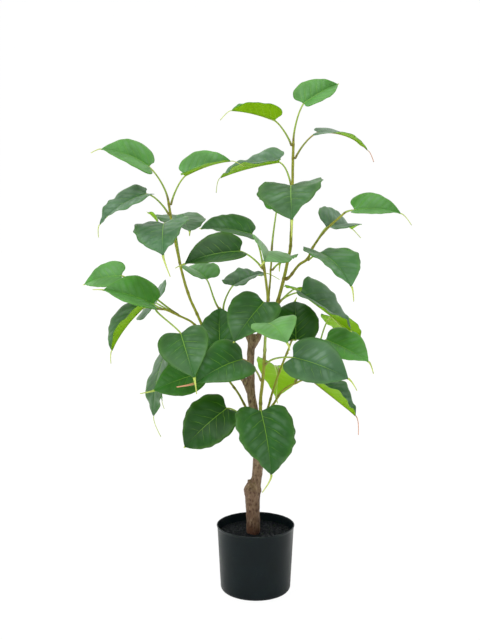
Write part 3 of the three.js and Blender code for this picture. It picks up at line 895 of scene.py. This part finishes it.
def upper_material(name, tint, painted_sheen, settings):
    """The upper face of a leaf in one of the plain tints, with a greyish painted sheen between its veins.
    """
    material, tree, shader = new_material(name, Specular_IOR_Level=0.34)
    veins = place_group(tree, "veins", Width=0.0022)
    mottle = place_group(tree, "mottle", Scale=30.0, Grain=300.0, Detail=0.6)
    darker = dimmed(tint, 0.76)
    # Painted sheen between the veins, in patches, where the blade swells.
    painted_sheen_mask = times(tree, veins["Swell"], faded(tree, mottle["Blotch"], 0.0, 1.0, 0.45))
    base = coated(
        tree,
        tint,
        (mottle["Blotch"], 1.0, darker),
        (painted_sheen_mask, 1.0, between(tint, settings.painted_sheen, painted_sheen)),
        (veins["Fine lines"], 0.3, darker),
        (veins["Margin"], 0.5, between(tint, settings.vein, 0.25)),
        (veins["Side veins"], 0.6, settings.vein),
        (veins["Midrib"], 0.9, settings.vein),
    )
    paint(tree, shader, Base_Color=base, Roughness=raised(tree, 0.4, mottle["Blotch"], 0.1))
    roughen(tree, shader, raised(tree, veins["Swell"], mottle["Grain"], 0.2), 0.3, 0.0004)
    return material


def under_material(settings):
    material, tree, shader = new_material("leaf underside", Specular_IOR_Level=0.15)
    veins = place_group(tree, "veins", Width=0.003)
    mottle = place_group(tree, "mottle", Scale=22.0, Grain=300.0, Detail=0.6)
    base = coated(
        tree,
        settings.under,
        (mottle["Blotch"], 0.5, dimmed(settings.under, 0.84)),
        (maths(tree, "MAXIMUM", veins["Midrib"], veins["Side veins"]), 0.4, settings.under_vein),
    )
    paint(tree, shader, Base_Color=base, Roughness=raised(tree, 0.6, mottle["Blotch"], 0.1))
    roughen(tree, shader, times(tree, veins["Swell"], -1.0), 0.3, 0.0004)
    return material


# ---------- Pot and fill ----------

POT_STEPS = 128
CORNER_STEPS = 8
WALL_STEPS = 8
FLARE_STEPS = 4
BEAD_STEPS = 6
# A shallow groove round the underside: how far in from the rounded foot, and how high.
GROOVE = [(8, 0), (7, 0.6), (4, 0.6), (3, 0)]
FLOOR = 3  # thickness of the pot's bottom
# How far the wall strays from round at its top and the lip from level, and how often round the pot.
SAG, SAG_PACE = 0.35, 1.7
SAG_HEIGHT = 60  # length of the wall's waves up the pot
DENT, DENT_PACE = 0.25, 9
DENT_SEED = 3.1
LIP_FROM, LIP_TO = 117, 120  # heights between which the dents set in


def pot_profile(pot):
    """From the middle of the underside out, up the wall, over the lip and down inside."""
    height, rim = pot.height / MM, pot.rim_radius / MM
    top, foot = pot.top_radius / MM, pot.foot_radius / MM
    lip, wall, corner = pot.lip_height / MM, pot.wall / MM, pot.corner / MM
    lip_foot = height - lip
    flat = foot - corner
    profile = [(0, 0), *((flat - reach, rise) for reach, rise in GROOVE)]
    for step in range(CORNER_STEPS + 1):
        angle = math.pi / 2 * step / CORNER_STEPS
        profile.append((flat + corner * math.sin(angle), corner * (1 - math.cos(angle))))
    for step in range(1, WALL_STEPS + 1):
        share = step / WALL_STEPS
        profile.append((mix(foot, top, share), mix(corner, lip_foot, share)))
    bead = wall / 2
    for step in range(1, FLARE_STEPS):
        share = step / FLARE_STEPS
        profile.append((mix(top, rim, smooth(0, 1, share)), mix(lip_foot, height - bead, share)))
    for step in range(BEAD_STEPS + 1):
        angle = math.pi * step / BEAD_STEPS
        profile.append((rim - bead + bead * math.cos(angle), height - bead + bead * math.sin(angle)))
    profile += [(top - wall, lip_foot), (foot - wall, corner), (flat, FLOOR), (0, FLOOR)]
    return profile


class MakePot(bpy.types.Operator):
    """Make the round plastic pot with its rolled lip"""

    bl_idname = "bodhi.make_pot"
    bl_label = "Make Pot"

    def execute(self, context):
        pot = context.scene.bodhi_pot
        bm = bmesh.new()
        spun(bm, pot_profile(pot), POT_STEPS)
        for vert in bm.verts:
            reach = math.hypot(vert.co.x, vert.co.y)
            if reach > 1:
                turn = Vector((vert.co.x, vert.co.y, 0)) / reach
                sag = noise.noise(turn * SAG_PACE + UP * (vert.co.z / SAG_HEIGHT)) * SAG
                dent = noise.noise(turn * DENT_PACE + UP * DENT_SEED) * DENT
                vert.co += turn * (sag * vert.co.z / LIP_TO)
                vert.co.z += dent * smooth(LIP_FROM, LIP_TO, vert.co.z)
        finished(bm, "pot_shell", [plastic_material(pot)], ["pot"])
        return {"FINISHED"}


FILL_RINGS = 46
FILL_STEPS = 150
FILL_DEPTH = 9
BED_DROP = 0.9  # how far the bed lies below the top of the loose granules
BED_LUMPS = [(14, 1.0), (3.1, 0.7), (1.4, 0.4)]  # size and height of the bed's lumps
GRANULES = 2600
GRANULE_SIZES = (0.6, 1.35)
GRANULE_HEIGHTS = (-0.9, 0.7)  # how high a granule lies about the fill's top
GRANULE_SHAPES = (0.6, 1), (0.5, 0.9)  # depth and height of a granule, beside its width
WALL_ROOM = 1.4  # how far the granules stay off the wall
FILL_SEED = 11


class MakeFill(bpy.types.Operator):
    """Make the dark granular fill that holds the trunk"""

    bl_idname = "bodhi.make_fill"
    bl_label = "Make Fill"

    def execute(self, context):
        pot = context.scene.bodhi_pot
        top = pot.fill_top / MM
        reach = FILL_BOX[1].x / MM
        draw = random.Random(FILL_SEED)
        material = granule_material(pot)

        bm = bmesh.new()
        profile = [(reach * i / FILL_RINGS, top - BED_DROP) for i in range(FILL_RINGS + 1)]
        spun(bm, [*profile, (reach, top - FILL_DEPTH), (0, top - FILL_DEPTH)], FILL_STEPS)
        for vert in bm.verts:
            if vert.co.z > top - FILL_DEPTH / 2:
                vert.co.z += sum(noise.noise(vert.co / size) * height for size, height in BED_LUMPS)
        finished(bm, "fill_bed", [material], ["fill"])

        bm = bmesh.new()
        for _ in range(GRANULES):
            distance = (reach - WALL_ROOM) * math.sqrt(draw.random())
            angle = draw.uniform(0, math.tau)
            size = draw.uniform(*GRANULE_SIZES)
            height = top + draw.uniform(*GRANULE_HEIGHTS)
            spot = Vector((distance * math.cos(angle), distance * math.sin(angle), height))
            turn = Matrix.Rotation(draw.uniform(0, math.tau), 4, "Z")
            turn = turn @ Matrix.Rotation(draw.uniform(0, 3), 4, "X")
            shape = Matrix.Diagonal((1, *(draw.uniform(*span) for span in GRANULE_SHAPES), 1))
            matrix = Matrix.Translation(spot) @ turn @ shape
            bmesh.ops.create_icosphere(bm, subdivisions=1, radius=size, matrix=matrix)
        finished(bm, "fill_granules", [material], [])
        return {"FINISHED"}


# ---------- Trunk ----------

TRUNK_SIDES = 28
SPUR_SIDES = 20
STATION_STEP = 3.0  # distance between the rings of a limb
LENGTH_STEPS = 200  # how finely a limb is measured
SIDE = Vector((1, 0.2, 0))  # where the first corner of a ring looks
# Dents and bosses on the trunk: place, how far it reaches, and its depth, with bosses below zero.
MARKS = [
    ((7.5, -13, 178), 4.5, 2.2),
    ((-3, -20, 190), 5, -1.0),
    ((-17, -12, 176), 6, 1.4),
    ((9, -10, 187), 5, -1.6),
    ((-12, -14, 150), 5, -0.8),
    ((4, -15, 140), 4, 0.9),
    ((-2, -15, 202), 4, 1.0),
    ((11, -9, 232), 4, 0.8),
    ((-4, -11, 262), 5, -0.7),
    ((6, 4, 300), 5, 0.9),
    ((-14, -4, 330), 4, -0.8),
    ((-1, 3, 215), 6, -1.0),
    ((-16, 4, 128), 6, 1.2),
    ((-12, 7, 185), 7, -1.2),
]
MARK_END = 1.8  # a mark is nothing from here on, in reaches
# Lumps, ridges and fibres of the bark: their size across and along the trunk, and their height.
BARK_WAVES = [(19, 19, 1.1), (3.4, 17, 1.0), (1.5, 7, 0.55)]
PIT_SIZE, PIT_FREE, PIT_DEPTH = 2.6, 0.25, 1.1


def bark_height(point):
    """How far the bark stands out at a point, as a share of its relief."""
    height = min(0.0, noise.noise(point / PIT_SIZE) + PIT_FREE) * PIT_DEPTH
    for across, along, rise in BARK_WAVES:
        height += noise.noise(Vector((point.x / across, point.y / across, point.z / along))) * rise
    return height


def limb_stations(line, step=STATION_STEP):
    """Even stations along a limb."""
    points = [line.point(i / LENGTH_STEPS) for i in range(LENGTH_STEPS + 1)]
    total = sum((b - a).length for a, b in zip(points, points[1:]))
    count = max(4, round(total / step))
    return [(line.point(i / count), line.radius(i / count), i / count) for i in range(count + 1)]


def voxel_skin(bm, voxel):
    """One even closed skin round all the tubes of a mesh."""
    rough = bpy.data.objects.new("rough", bpy.data.meshes.new("rough"))
    bm.to_mesh(rough.data)
    bm.free()
    bpy.context.scene.collection.objects.link(rough)
    modifier = rough.modifiers.new("Skin", "REMESH")
    modifier.mode = "VOXEL"
    modifier.voxel_size = voxel
    depsgraph = bpy.context.evaluated_depsgraph_get()
    skin = bmesh.new()
    skin.from_mesh(rough.evaluated_get(depsgraph).to_mesh())
    mesh = rough.data
    bpy.data.objects.remove(rough)
    bpy.data.meshes.remove(mesh)
    every_way = {"use_axis_x": True, "use_axis_y": True, "use_axis_z": True}
    bmesh.ops.smooth_vert(skin, verts=skin.verts, factor=0.5, **every_way)
    skin.normal_update()
    return skin


class MakeTrunk(bpy.types.Operator):
    """Make the trunk with its knob, stub and fork as one skin of bark"""

    bl_idname = "bodhi.make_trunk"
    bl_label = "Make Trunk"

    def execute(self, context):
        trunk = context.scene.bodhi_trunk
        bm = bmesh.new()
        shaft = CentreLine([row[:3] for row in TRUNK], [row[3] for row in TRUNK])
        limbs = [(shaft, TRUNK_SIDES), *((LINES[name], SPUR_SIDES) for name in SPURS)]
        for line, sides in limbs:
            stations = [(point, radius, radius, 0) for point, radius, _ in limb_stations(line)]
            sweep(bm, stations, sides, SIDE)
        bmesh.ops.recalc_face_normals(bm, faces=bm.faces)
        skin = voxel_skin(bm, trunk.voxel / MM)
        moves = []
        for vert in skin.verts:
            rise = bark_height(vert.co) * trunk.relief / MM
            for place, reach, depth in MARKS:
                gap = (vert.co - Vector(place)).length / reach
                if gap < MARK_END:
                    rise -= depth * math.exp(-2 * gap * gap)
            moves.append(vert.normal * rise)
        for vert, move in zip(skin.verts, moves):
            vert.co += move
        finished(skin, "trunk_bark", [bark_material(trunk)], ["trunk"])
        return {"FINISHED"}


# ---------- Boughs, stems and twigs ----------

STEM_SIDES = 14
STEM_STEP = 2.2  # distance between the rings of a stem
NODE_REACH, NODE_SWELL = 2.6, 0.22  # how far a node reaches along its stem, and how much it swells
COLLAR_REACH, COLLAR_SWELL = 5, 0.35  # the same for a stem's foot
EXTRA_NODE_GAP = 34  # about this far apart, a bare stretch of stem has nodes of its own
STEM_WAVES = [(8, 0.1), (2.5, 0.06)]  # size and height of a stem's unevenness
STEM_BEND = 0.7  # how far a stem strays from its centre line
STEM_BEND_SIZES = (21, 23)  # length of its bends to the side and to the back
BARE_ENDS = (0.08, 0.97)  # the stretch of a stem that can have extra nodes
NODE_SHIFT = 0.02  # how far an extra node strays along its stem
FOOT_WIDE, TIP_WIDE = 1.5, 0.6  # radius of a stem's ends beside its own there
FOOT_SINK, FOOT_DEPTH = 0.75, 5  # how far it goes into what carries it, from the side and from its end
TIP_OUT = 0.8
COLLAR_BROWN = 0.8
BARE_NODES = 0.5  # share of the nodes that have no bud
BUD_SIZES = (0.8, 1.15)
BUD_SIDES = 8
BUD_RINGS = [(0, 1.0), (1.4, 0.9), (2.6, 0.6), (3.4, 0.18)]  # how far out, and how wide
BUD_LEAN = 0.9  # how much a bud leans along its stem, beside straight out
BUD_DEPTH = 0.6  # where it starts, as a share of the stem's radius
BUD_BROWN = 0.8


def node_places(name, draw):
    """Where a limb swells: at each leaf and limb that it carries, and at seeded places between."""
    line = LINES[name]
    shares = [row["at"] for row in LEAVES.get(name, []) if row["at"] < 1]
    shares += [at for carrier, at, *_ in LIMBS.values() if carrier == name and at < 1]
    places = [line.point(share) for share in shares]
    for point, _, share in limb_stations(line, EXTRA_NODE_GAP):
        bare = all((point - other).length > EXTRA_NODE_GAP / 2 for other in places)
        if bare and BARE_ENDS[0] < share < BARE_ENDS[1]:
            places.append(line.point(clamp(share + draw.uniform(-NODE_SHIFT, NODE_SHIFT))))
    return places


def stem_station(line, nodes, point, radius, share):
    """A ring of a stem, with its unevenness, and brown where the stem swells."""
    near = min(((point - node).length for node in nodes), default=math.inf)
    swell = math.exp(-((near / NODE_REACH) ** 2))
    collar = math.exp(-(((point - line.point(0)).length / COLLAR_REACH) ** 2))
    uneven = sum(noise.noise(point / size) * height for size, height in STEM_WAVES)
    size = radius * (1 + NODE_SWELL * swell + COLLAR_SWELL * collar + uneven)
    aside, back = STEM_BEND_SIZES
    bend = Vector((noise.noise(point / aside), noise.noise(point / back + UP * 9), 0)) * STEM_BEND
    bend *= smooth(0, 0.1, share) * smooth(1, 0.9, share)
    return point + bend, size, size, (share, clamp(swell + collar * COLLAR_BROWN), 0)


class MakeStems(bpy.types.Operator):
    """Make the boughs, stems and twigs with their nodes and buds"""

    bl_idname = "bodhi.make_stems"
    bl_label = "Make Stems"

    def execute(self, context):
        bm = bmesh.new()
        marks = bm.verts.layers.float_vector.new("run")
        for name, (carrier, at, *_) in LIMBS.items():
            draw = random.Random(name)
            line = LINES[name]
            nodes = node_places(name, draw)
            start = line.point(0)
            inside = start - line.heading(0) * FOOT_DEPTH
            if at < 1:
                inside = mix(start, LINES[carrier].point(at), FOOT_SINK)
            foot, end = line.radius(0) * FOOT_WIDE, line.radius(1) * TIP_WIDE
            rings = [stem_station(line, nodes, *place) for place in limb_stations(line, STEM_STEP)]
            tip = line.point(1) + line.heading(1) * TIP_OUT
            stations = [(inside, foot, foot, (0, 1, 0)), *rings, (tip, end, end, (1, 0, 0))]
            sweep(bm, stations, STEM_SIDES, SIDE, marks)
            self.add_buds(bm, line, nodes, draw, marks)
        bmesh.ops.recalc_face_normals(bm, faces=bm.faces)
        finished(bm, "stems", [stem_material(context.scene.bodhi_stems)], list(LIMBS))
        return {"FINISHED"}

    def add_buds(self, bm, line, nodes, draw, marks):
        """Small moulded buds beside some of the nodes."""
        for node in nodes:
            if draw.random() < BARE_NODES:
                continue
            share = min((i / 100 for i in range(101)), key=lambda s: (line.point(s) - node).length)
            forward = line.heading(share)
            out = square_to(ray(1, draw.uniform(0, 360), 0), forward)
            lean = (out + forward * BUD_LEAN).normalized()
            foot = node + out * line.radius(share) * BUD_DEPTH
            size = draw.uniform(*BUD_SIZES)
            stations = []
            mark = (share, BUD_BROWN, 0)
            for reach, wide in BUD_RINGS:
                stations.append((foot + lean * reach * size, wide * size, wide * size, mark))
            sweep(bm, stations, BUD_SIDES, UP.cross(out) + out * 0.1, marks)


# ---------- Leaves ----------

# Outline of a blade's half, as two curves that meet where it is widest: half width and place along
# the midrib, in blade lengths.
WIDEST = 0.34
LOBE_EDGE = [(0.17, -0.065), (0.33, -0.125), (0.5, 0.02), (0.505, 0.29)]
TIP_EDGE = [(0.505, 0.29), (0.51, 0.62), (0.22, 0.85), (0.012, 1.0)]
SWEEP_BACK = 1.4  # how late, on its way out, a row of the blade turns back to the outline
FLATTEN = 0.7  # how much less the halves lift towards their edges
COLUMNS = 26
ROWS = 46
CROWDING = 1.25  # draws the columns of faces towards the midrib
NICK, NICK_PACE = 0.019, 1.4  # how far the outline wavers, and how often beside the ripples
SLOW_RIPPLES = (1.6, 2.6)  # ripples along an edge, of the slow kind
QUICK_RIPPLES = (4.5, 6.5)  # and of the quick kind
QUICK_SHARE = 0.45  # height of the quick ripples beside the slow ones
QUILT_LOW, QUILT_RISE = 1.4, 4  # quilting of a calm blade, and how much more a wavy one has
CREASE, CREASE_HALF = 0.006, 0.014  # depth and half width of the crease over the midrib

STALK_SIDES = 10
DRIP_STEPS, RIB_STEPS, STALK_STEPS = 12, 16, 18
BARE_TIP, BARE_TIP_STEPS = 3, 3  # length and rings of the point of a leaf without a drip tip
# Half widths and half depths from the first value to the second.
DRIP_WIDE, DRIP_DEEP = (3.0, 0.85), (0.7, 0.65)
RIB_WIDE, RIB_DEEP, RIB_FLARE = (1.1, 0.45), (0.8, 0.3), 1.9
STALK_RADII, STALK_SWELL = (1.85, 1.45), 0.25
BELOW = 0.5  # how far stalk and drip tip lie below the blade's middle
RIB_BELOW = 0.3  # how far the top of the rib does
STALK_SINK, STALK_DEPTH = 0.7, 3  # how far a stalk goes into its limb, from the side and from its end
# The stalk's curve: how far its handles reach, as shares of its length, and how it meets the blade.
LEAVE_REACH, ARRIVE_REACH = 0.3, 0.25
ALONG_BLADE, ALONG_CHORD = 0.5, 0.7
DRIP_REACH = 0.25  # how far a drip tip runs on with the blade before it bends, as a share of its length

# How strong the greyish painted sheen between the veins is on each tint of leaf.
PAINTED_SHEEN_SHARES = {"deep": 0.06, "dark": 0.32, "mid": 0.4, "grey": 0.6, "fresh": 0.25, "light": 0.3, "vivid": 0.05}


def bezier(points, share):
    """A point of the curve that its handles give."""
    points = list(points)
    while len(points) > 1:
        points = [a + (b - a) * share for a, b in zip(points, points[1:])]
    return points[0]


def edge_at(share):
    """The blade's right-hand edge: half width and place along the midrib, in blade lengths."""
    if share < WIDEST:
        return bezier([Vector(p) for p in LOBE_EDGE], share / WIDEST)
    return bezier([Vector(p) for p in TIP_EDGE], (share - WIDEST) / (1 - WIDEST))


def blade_axes(row, forth=0.0):
    """A blade's axes: x to the right, y along the midrib, z out of the upper face."""
    y = ray(1, *row["blade"][1:])
    level = square_to(UP, y)
    turn = row["roll"] + row["twist"] * forth
    z = level * math.cos(turn) + y.cross(level) * math.sin(turn)
    return y.cross(z), y, z


def quilt(across, forth):
    """How full a blade is between two side veins: 0 on a vein, 1 half way between."""
    reach = abs(across)
    slant = mix(*VEIN_SLANTS, smooth(0, 0.4, forth))
    level = forth - slant * reach - VEIN_BEND * reach * reach
    phase = level * VEIN_COUNT + (VEIN_STAGGER if across < 0 else 0)
    full = abs(math.sin(math.pi * phase)) ** 0.8
    return full * smooth(0.01, 0.09, reach) * smooth(1.0, 0.7, forth)


def swing(turns):
    return math.sin(math.tau * turns)


class Leaf:
    """One leaf in place: its base, its axes, and the seeded ripples of its blade."""

    def __init__(self, carrier, number, row):
        self.row = row
        self.line = LINES[carrier]
        self.root = self.line.point(row["at"])
        self.base = self.root + ray(*row["stalk"])
        self.x, self.y, self.z = blade_axes(row)
        self.size = row["blade"][0]
        self.tip = self.base + self.y * self.size
        draw = random.Random(f"{carrier} {number}")
        kinds = (SLOW_RIPPLES, (0, 1), QUICK_RIPPLES, (0, 1))
        self.ripples = [[draw.uniform(*kind) for kind in kinds] for _ in range(2)]

    def surface(self, side, share, settings):
        """The point of the blade's middle layer, its upward direction and its flat coordinates."""
        row, size = self.row, self.size
        edge = edge_at(share)
        far = abs(side)
        slow, slow_start, quick, quick_start = self.ripples[side < 0]
        nick = swing(quick * share * NICK_PACE + slow_start) * NICK * row["wave"]
        across = edge.x * side * row["wide"] * (1 + row["blunt"] * share**4) * (1 + nick * far**3)
        forth = share + (edge.y - share) * far**SWEEP_BACK
        reach = abs(across)
        x, y, z = blade_axes(row, forth)
        ripple = row["wave"] * settings.ripple / MM / size
        quilting = (QUILT_LOW + QUILT_RISE * max(0, row["wave"] - 1)) * settings.quilting / MM / size
        wave = swing(slow * share + slow_start) + QUICK_SHARE * swing(quick * share + quick_start)
        ends = smooth(0, 0.12, share) * smooth(1, 0.8, share)
        lift = reach * math.sin(row["fold"]) * (1 - FLATTEN * reach)
        lift += ripple * wave * far**2.2 * ends
        lift += quilting * quilt(across, forth) * (1 - far**4)
        lift -= CREASE * math.exp(-((across / CREASE_HALF) ** 2)) * smooth(0, 0.1, forth)
        bow = self.z * (4 * row["arch"] * forth * (1 - forth))
        place = self.base + (x * (across * math.cos(row["fold"])) + y * forth + z * lift + bow) * size
        return place, z, (across, forth, far)

    def add_blade(self, bm, marks, settings, slot):
        half = settings.thickness / MM / 2
        grid = bmesh.ops.create_grid(bm, x_segments=COLUMNS, y_segments=ROWS, size=1)["verts"]
        for vert in grid:
            side = math.copysign(abs(vert.co.x) ** CROWDING, vert.co.x)
            share = (vert.co.y + 1) / 2
            place, up, flat = self.surface(side, share, settings)
            vert.co = place + up * half
            vert[marks] = flat
        for face in dict.fromkeys(face for vert in grid for face in vert.link_faces):
            face.material_index = slot

    def stalk_curve(self):
        """The handles of the stalk's curve from the limb to the blade."""
        at = self.row["at"]
        bound = ray(1, *self.row["stalk"][1:])
        lean = (bound + self.line.heading(at) * STALK_LEAN).normalized()
        start, heading = leave(self.line, at, lean, STALK_RADIUS)
        reach = (start - self.base).length
        chord = (self.base - start).normalized()
        arrive = (self.y * ALONG_BLADE + chord * ALONG_CHORD).normalized()
        leaving, arriving = heading * reach * LEAVE_REACH, arrive * reach * ARRIVE_REACH
        return [start, start + leaving, self.base - arriving, self.base]

    def drip_stations(self):
        """From the end of the drip tip back to the blade."""
        drip = self.row["drip"]
        end = self.tip + (ray(*drip) if drip else self.y * BARE_TIP)
        bend = self.tip + self.y * (end - self.tip).length * DRIP_REACH
        steps = DRIP_STEPS if drip else BARE_TIP_STEPS
        for i in range(steps, 0, -1):
            share = i / steps
            point = bezier([self.tip, bend, end], share) - self.z * BELOW
            yield point, mix(*DRIP_WIDE, share**0.6), mix(*DRIP_DEEP, share), (2 + share, 0, 0)

    def rib_stations(self, settings):
        """From the tip of the blade back to its base, along its underside."""
        for i in range(RIB_STEPS, 0, -1):
            share = i / RIB_STEPS
            middle, *_ = self.surface(0, share, settings)
            wide = mix(*RIB_WIDE, smooth(0, 0.75, share)) + RIB_FLARE * smooth(0.86, 1, share)
            deep = mix(*RIB_DEEP, smooth(0, 0.8, share))
            yield middle - self.z * (RIB_BELOW + deep / 2), wide, deep, (1 + share, 0, 0)

    def stalk_stations(self):
        """From the base of the blade back to the limb and into it."""
        handles = self.stalk_curve()
        for i in range(STALK_STEPS, -1, -1):
            share = i / STALK_STEPS
            radius = mix(*STALK_RADII, smooth(0, 0.7, share)) + STALK_SWELL * math.exp(-((i / 1.6) ** 2))
            point = bezier(handles, share) - self.z * BELOW * smooth(0.7, 1, share)
            yield point, radius, radius, (share, 0, 0)
        inside = handles[0] - self.line.heading(1) * STALK_DEPTH
        if self.row["at"] < 1:
            inside = mix(handles[0], self.root, STALK_SINK)
        yield inside, STALK_RADIUS, STALK_RADIUS, (0, 0, 0)

    def add_stalk(self, bm, marks, settings, slot):
        """Stalk, rib under the blade and drip tip in one tube, swept from the tip to the limb."""
        stations = [*self.drip_stations(), *self.rib_stations(settings), *self.stalk_stations()]
        first = len(bm.faces)
        sweep(bm, stations, STALK_SIDES, self.x, marks)
        bm.faces.ensure_lookup_table()
        for face in bm.faces[first:]:
            face.material_index = slot


def all_leaves():
    for carrier, rows in LEAVES.items():
        yield carrier, [Leaf(carrier, number, row) for number, row in enumerate(rows, 1)]


class MakeBlades(bpy.types.Operator):
    """Make the leaf blades of each limb as one spray of quilted sheets"""

    bl_idname = "bodhi.make_blades"
    bl_label = "Make Blades"

    def execute(self, context):
        settings = context.scene.bodhi_leaves
        under = under_material(settings)
        upper = {
            tint: upper_material(f"leaf {tint}", getattr(settings, tint), painted_sheen, settings)
            for tint, painted_sheen in PAINTED_SHEEN_SHARES.items()
        }
        for carrier, leaves in all_leaves():
            bm = bmesh.new()
            marks = bm.verts.layers.float_vector.new("blade")
            used = sorted({one.row["tint"] for one in leaves})
            for one in leaves:
                one.add_blade(bm, marks, settings, used.index(one.row["tint"]) * 2)
            slots = [material for tint in used for material in (upper[tint], under)]
            nodes = [f"{carrier}_leaf_{number}" for number in range(1, len(leaves) + 1)]
            spray = finished(bm, f"{carrier}_blades", slots, nodes)
            # Each blade becomes a closed sheet, whose underside takes the slot after its upper face's.
            shell = spray.modifiers.new("Thickness", "SOLIDIFY")
            shell.thickness = settings.thickness
            shell.offset = -1
            shell.material_offset = 1
        return {"FINISHED"}


class MakeStalks(bpy.types.Operator):
    """Make the stalks, under-leaf ribs and drip tips of every leaf"""

    bl_idname = "bodhi.make_stalks"
    bl_label = "Make Stalks"

    def execute(self, context):
        stems = context.scene.bodhi_stems
        tails = {"pale": (stems.pale_tip, 0.0), "pink": (stems.pink_tip, 0.45)}
        materials = [stalk_material(f"stalk with {name} tip", stems, *tail) for name, tail in tails.items()]
        bm = bmesh.new()
        marks = bm.verts.layers.float_vector.new("run")
        for _, leaves in all_leaves():
            for one in leaves:
                slot = list(tails).index(one.row["tail"])
                one.add_stalk(bm, marks, context.scene.bodhi_leaves, slot)
        bmesh.ops.recalc_face_normals(bm, faces=bm.faces)
        finished(bm, "leaf_stalks", materials, [])
        return {"FINISHED"}


# ---------- Stage ----------

FLOOR_SIZE = 12
BACKDROP_RADIUS, BACKDROP_SIDES, BACKDROP_RINGS = 11, 48, 24
WHITE = (1, 1, 1, 1)
GLOW = 0.97  # how white the floor and the backdrop look
LIGHT_FROM = (-0.25, -0.55, 1)
LIGHT_WIDTH = 70  # how broad the light from above is, in degrees
BRIGHT_ABOVE, BRIGHT_LEFT = 0.4, 0.12  # how much brighter the surround is there, beside the back
SURROUND_EASE = (-0.25, 0.45)  # where it changes from the front's strength to the back's
SENSOR = 36
CAMERA_X = 0.0009
CAMERA_DIP = 7.15  # how far the camera looks down, in degrees
CAMERA_TURN = 0.974  # how far it turns to its left, in degrees


def staged(bm, name, material):
    """An object of the stage, which isn't part of the plant."""
    mesh = bpy.data.meshes.new(name)
    bm.to_mesh(mesh)
    bm.free()
    mesh.materials.append(material)
    prop = bpy.data.objects.new(name, mesh)
    bpy.context.scene.collection.objects.link(prop)
    prop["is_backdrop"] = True
    return prop


def floor_material(stage):
    """It throws light back at the plant, but looks as plain white as the surround."""
    material, tree, shader = new_material("floor", Roughness=0.9, Specular_IOR_Level=0.1)
    mottle = place_group(tree, "mottle", Scale=3.0, Grain=60.0)
    shader.inputs["Emission Color"].default_value = WHITE
    glow = times(tree, add(tree, "LightPath").outputs["Is Camera Ray"], GLOW)
    base = coated(tree, stage.floor, (mottle["Blotch"], 0.02, (0.8, 0.8, 0.8)), (glow, 1.0, (0, 0, 0)))
    paint(tree, shader, Base_Color=base, Emission_Strength=glow)
    return material


def white_surround(stage):
    """A white world that is brighter behind the plant and above it."""
    world = bpy.data.worlds.new("plain surround")
    world.use_nodes = True
    tree = world.node_tree
    sky = tree.nodes["Background"]
    sky.inputs["Color"].default_value = WHITE
    away = parted(tree, add(tree, "TexCoord").outputs["Generated"])
    lit = raised(tree, raised(tree, away["Y"], away["Z"], BRIGHT_ABOVE), away["X"], -BRIGHT_LEFT)
    tree.links.new(eased(tree, lit, *SURROUND_EASE, stage.front, stage.back), sky.inputs["Strength"])
    return world


class MakeStage(bpy.types.Operator):
    """Make the pale floor, the soft studio light and the camera"""

    bl_idname = "bodhi.make_stage"
    bl_label = "Make Stage"

    def execute(self, context):
        scene = context.scene
        stage = scene.bodhi_stage

        material = floor_material(stage)
        bm = bmesh.new()
        bmesh.ops.create_grid(bm, x_segments=1, y_segments=1, size=FLOOR_SIZE)
        staged(bm, "floor", material)
        bm = bmesh.new()
        bmesh.ops.create_uvsphere(
            bm, u_segments=BACKDROP_SIDES, v_segments=BACKDROP_RINGS, radius=BACKDROP_RADIUS
        )
        bmesh.ops.reverse_faces(bm, faces=bm.faces)
        backdrop = staged(bm, "backdrop", material)
        # The backdrop only closes the view: all light passes through it.
        backdrop.visible_diffuse = False
        backdrop.visible_glossy = False
        backdrop.visible_transmission = False
        backdrop.visible_shadow = False
        scene.world = white_surround(stage)

        daylight = bpy.data.lights.new("broad light", "SUN")
        daylight.energy = stage.overhead
        daylight.angle = math.radians(LIGHT_WIDTH)
        lamp = bpy.data.objects.new("broad light", daylight)
        lamp.rotation_euler = Vector(LIGHT_FROM).to_track_quat("Z", "Y").to_euler()
        scene.collection.objects.link(lamp)

        eye = bpy.data.cameras.new("camera")
        eye.sensor_width = SENSOR
        eye.lens = stage.lens
        camera = bpy.data.objects.new("camera", eye)
        camera.location = (CAMERA_X, -stage.distance, stage.height)
        camera.rotation_euler = (math.radians(90 - CAMERA_DIP), 0, math.radians(CAMERA_TURN))
        scene.collection.objects.link(camera)
        scene.camera = camera
        scene.view_settings.view_transform = "Standard"
        return {"FINISHED"}


# ---------- The add-on ----------


class PlantPanel(bpy.types.Panel):
    """Lists what the add-on makes and what can be changed"""

    bl_idname = "VIEW3D_PT_bodhi_tree"
    bl_label = "Bodhi Tree"
    bl_space_type = "VIEW_3D"
    bl_region_type = "UI"
    bl_category = "Plant"

    def draw(self, context):
        for operator in OPERATORS:
            self.layout.operator(operator.bl_idname)
        for name, group in SETTINGS.items():
            box = self.layout.box()
            box.label(text=group.__name__)
            for prop in group.__annotations__:
                box.prop(getattr(context.scene, name), prop)


OPERATORS = [MakePot, MakeFill, MakeTrunk, MakeStems, MakeBlades, MakeStalks, MakeStage]


def register():
    for group in SETTINGS.values():
        bpy.utils.register_class(group)
    for name, group in SETTINGS.items():
        setattr(bpy.types.Scene, name, bpy.props.PointerProperty(type=group))
    for operator in OPERATORS:
        bpy.utils.register_class(operator)
    bpy.utils.register_class(PlantPanel)


def unregister():
    bpy.utils.unregister_class(PlantPanel)
    for operator in reversed(OPERATORS):
        bpy.utils.unregister_class(operator)
    for name in SETTINGS:
        delattr(bpy.types.Scene, name)
    for group in reversed(SETTINGS.values()):
        bpy.utils.unregister_class(group)


def main():
    register()
    bpy.ops.bodhi.make_pot()
    bpy.ops.bodhi.make_fill()
    bpy.ops.bodhi.make_trunk()
    bpy.ops.bodhi.make_stems()
    bpy.ops.bodhi.make_blades()
    bpy.ops.bodhi.make_stalks()
    bpy.ops.bodhi.make_stage()
    boxes = {"cad": CAD_BOX, "visual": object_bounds()}
    {name: [list(corner) for corner in box] for name, box in boxes.items()}


if __name__ == "__main__":
    main()
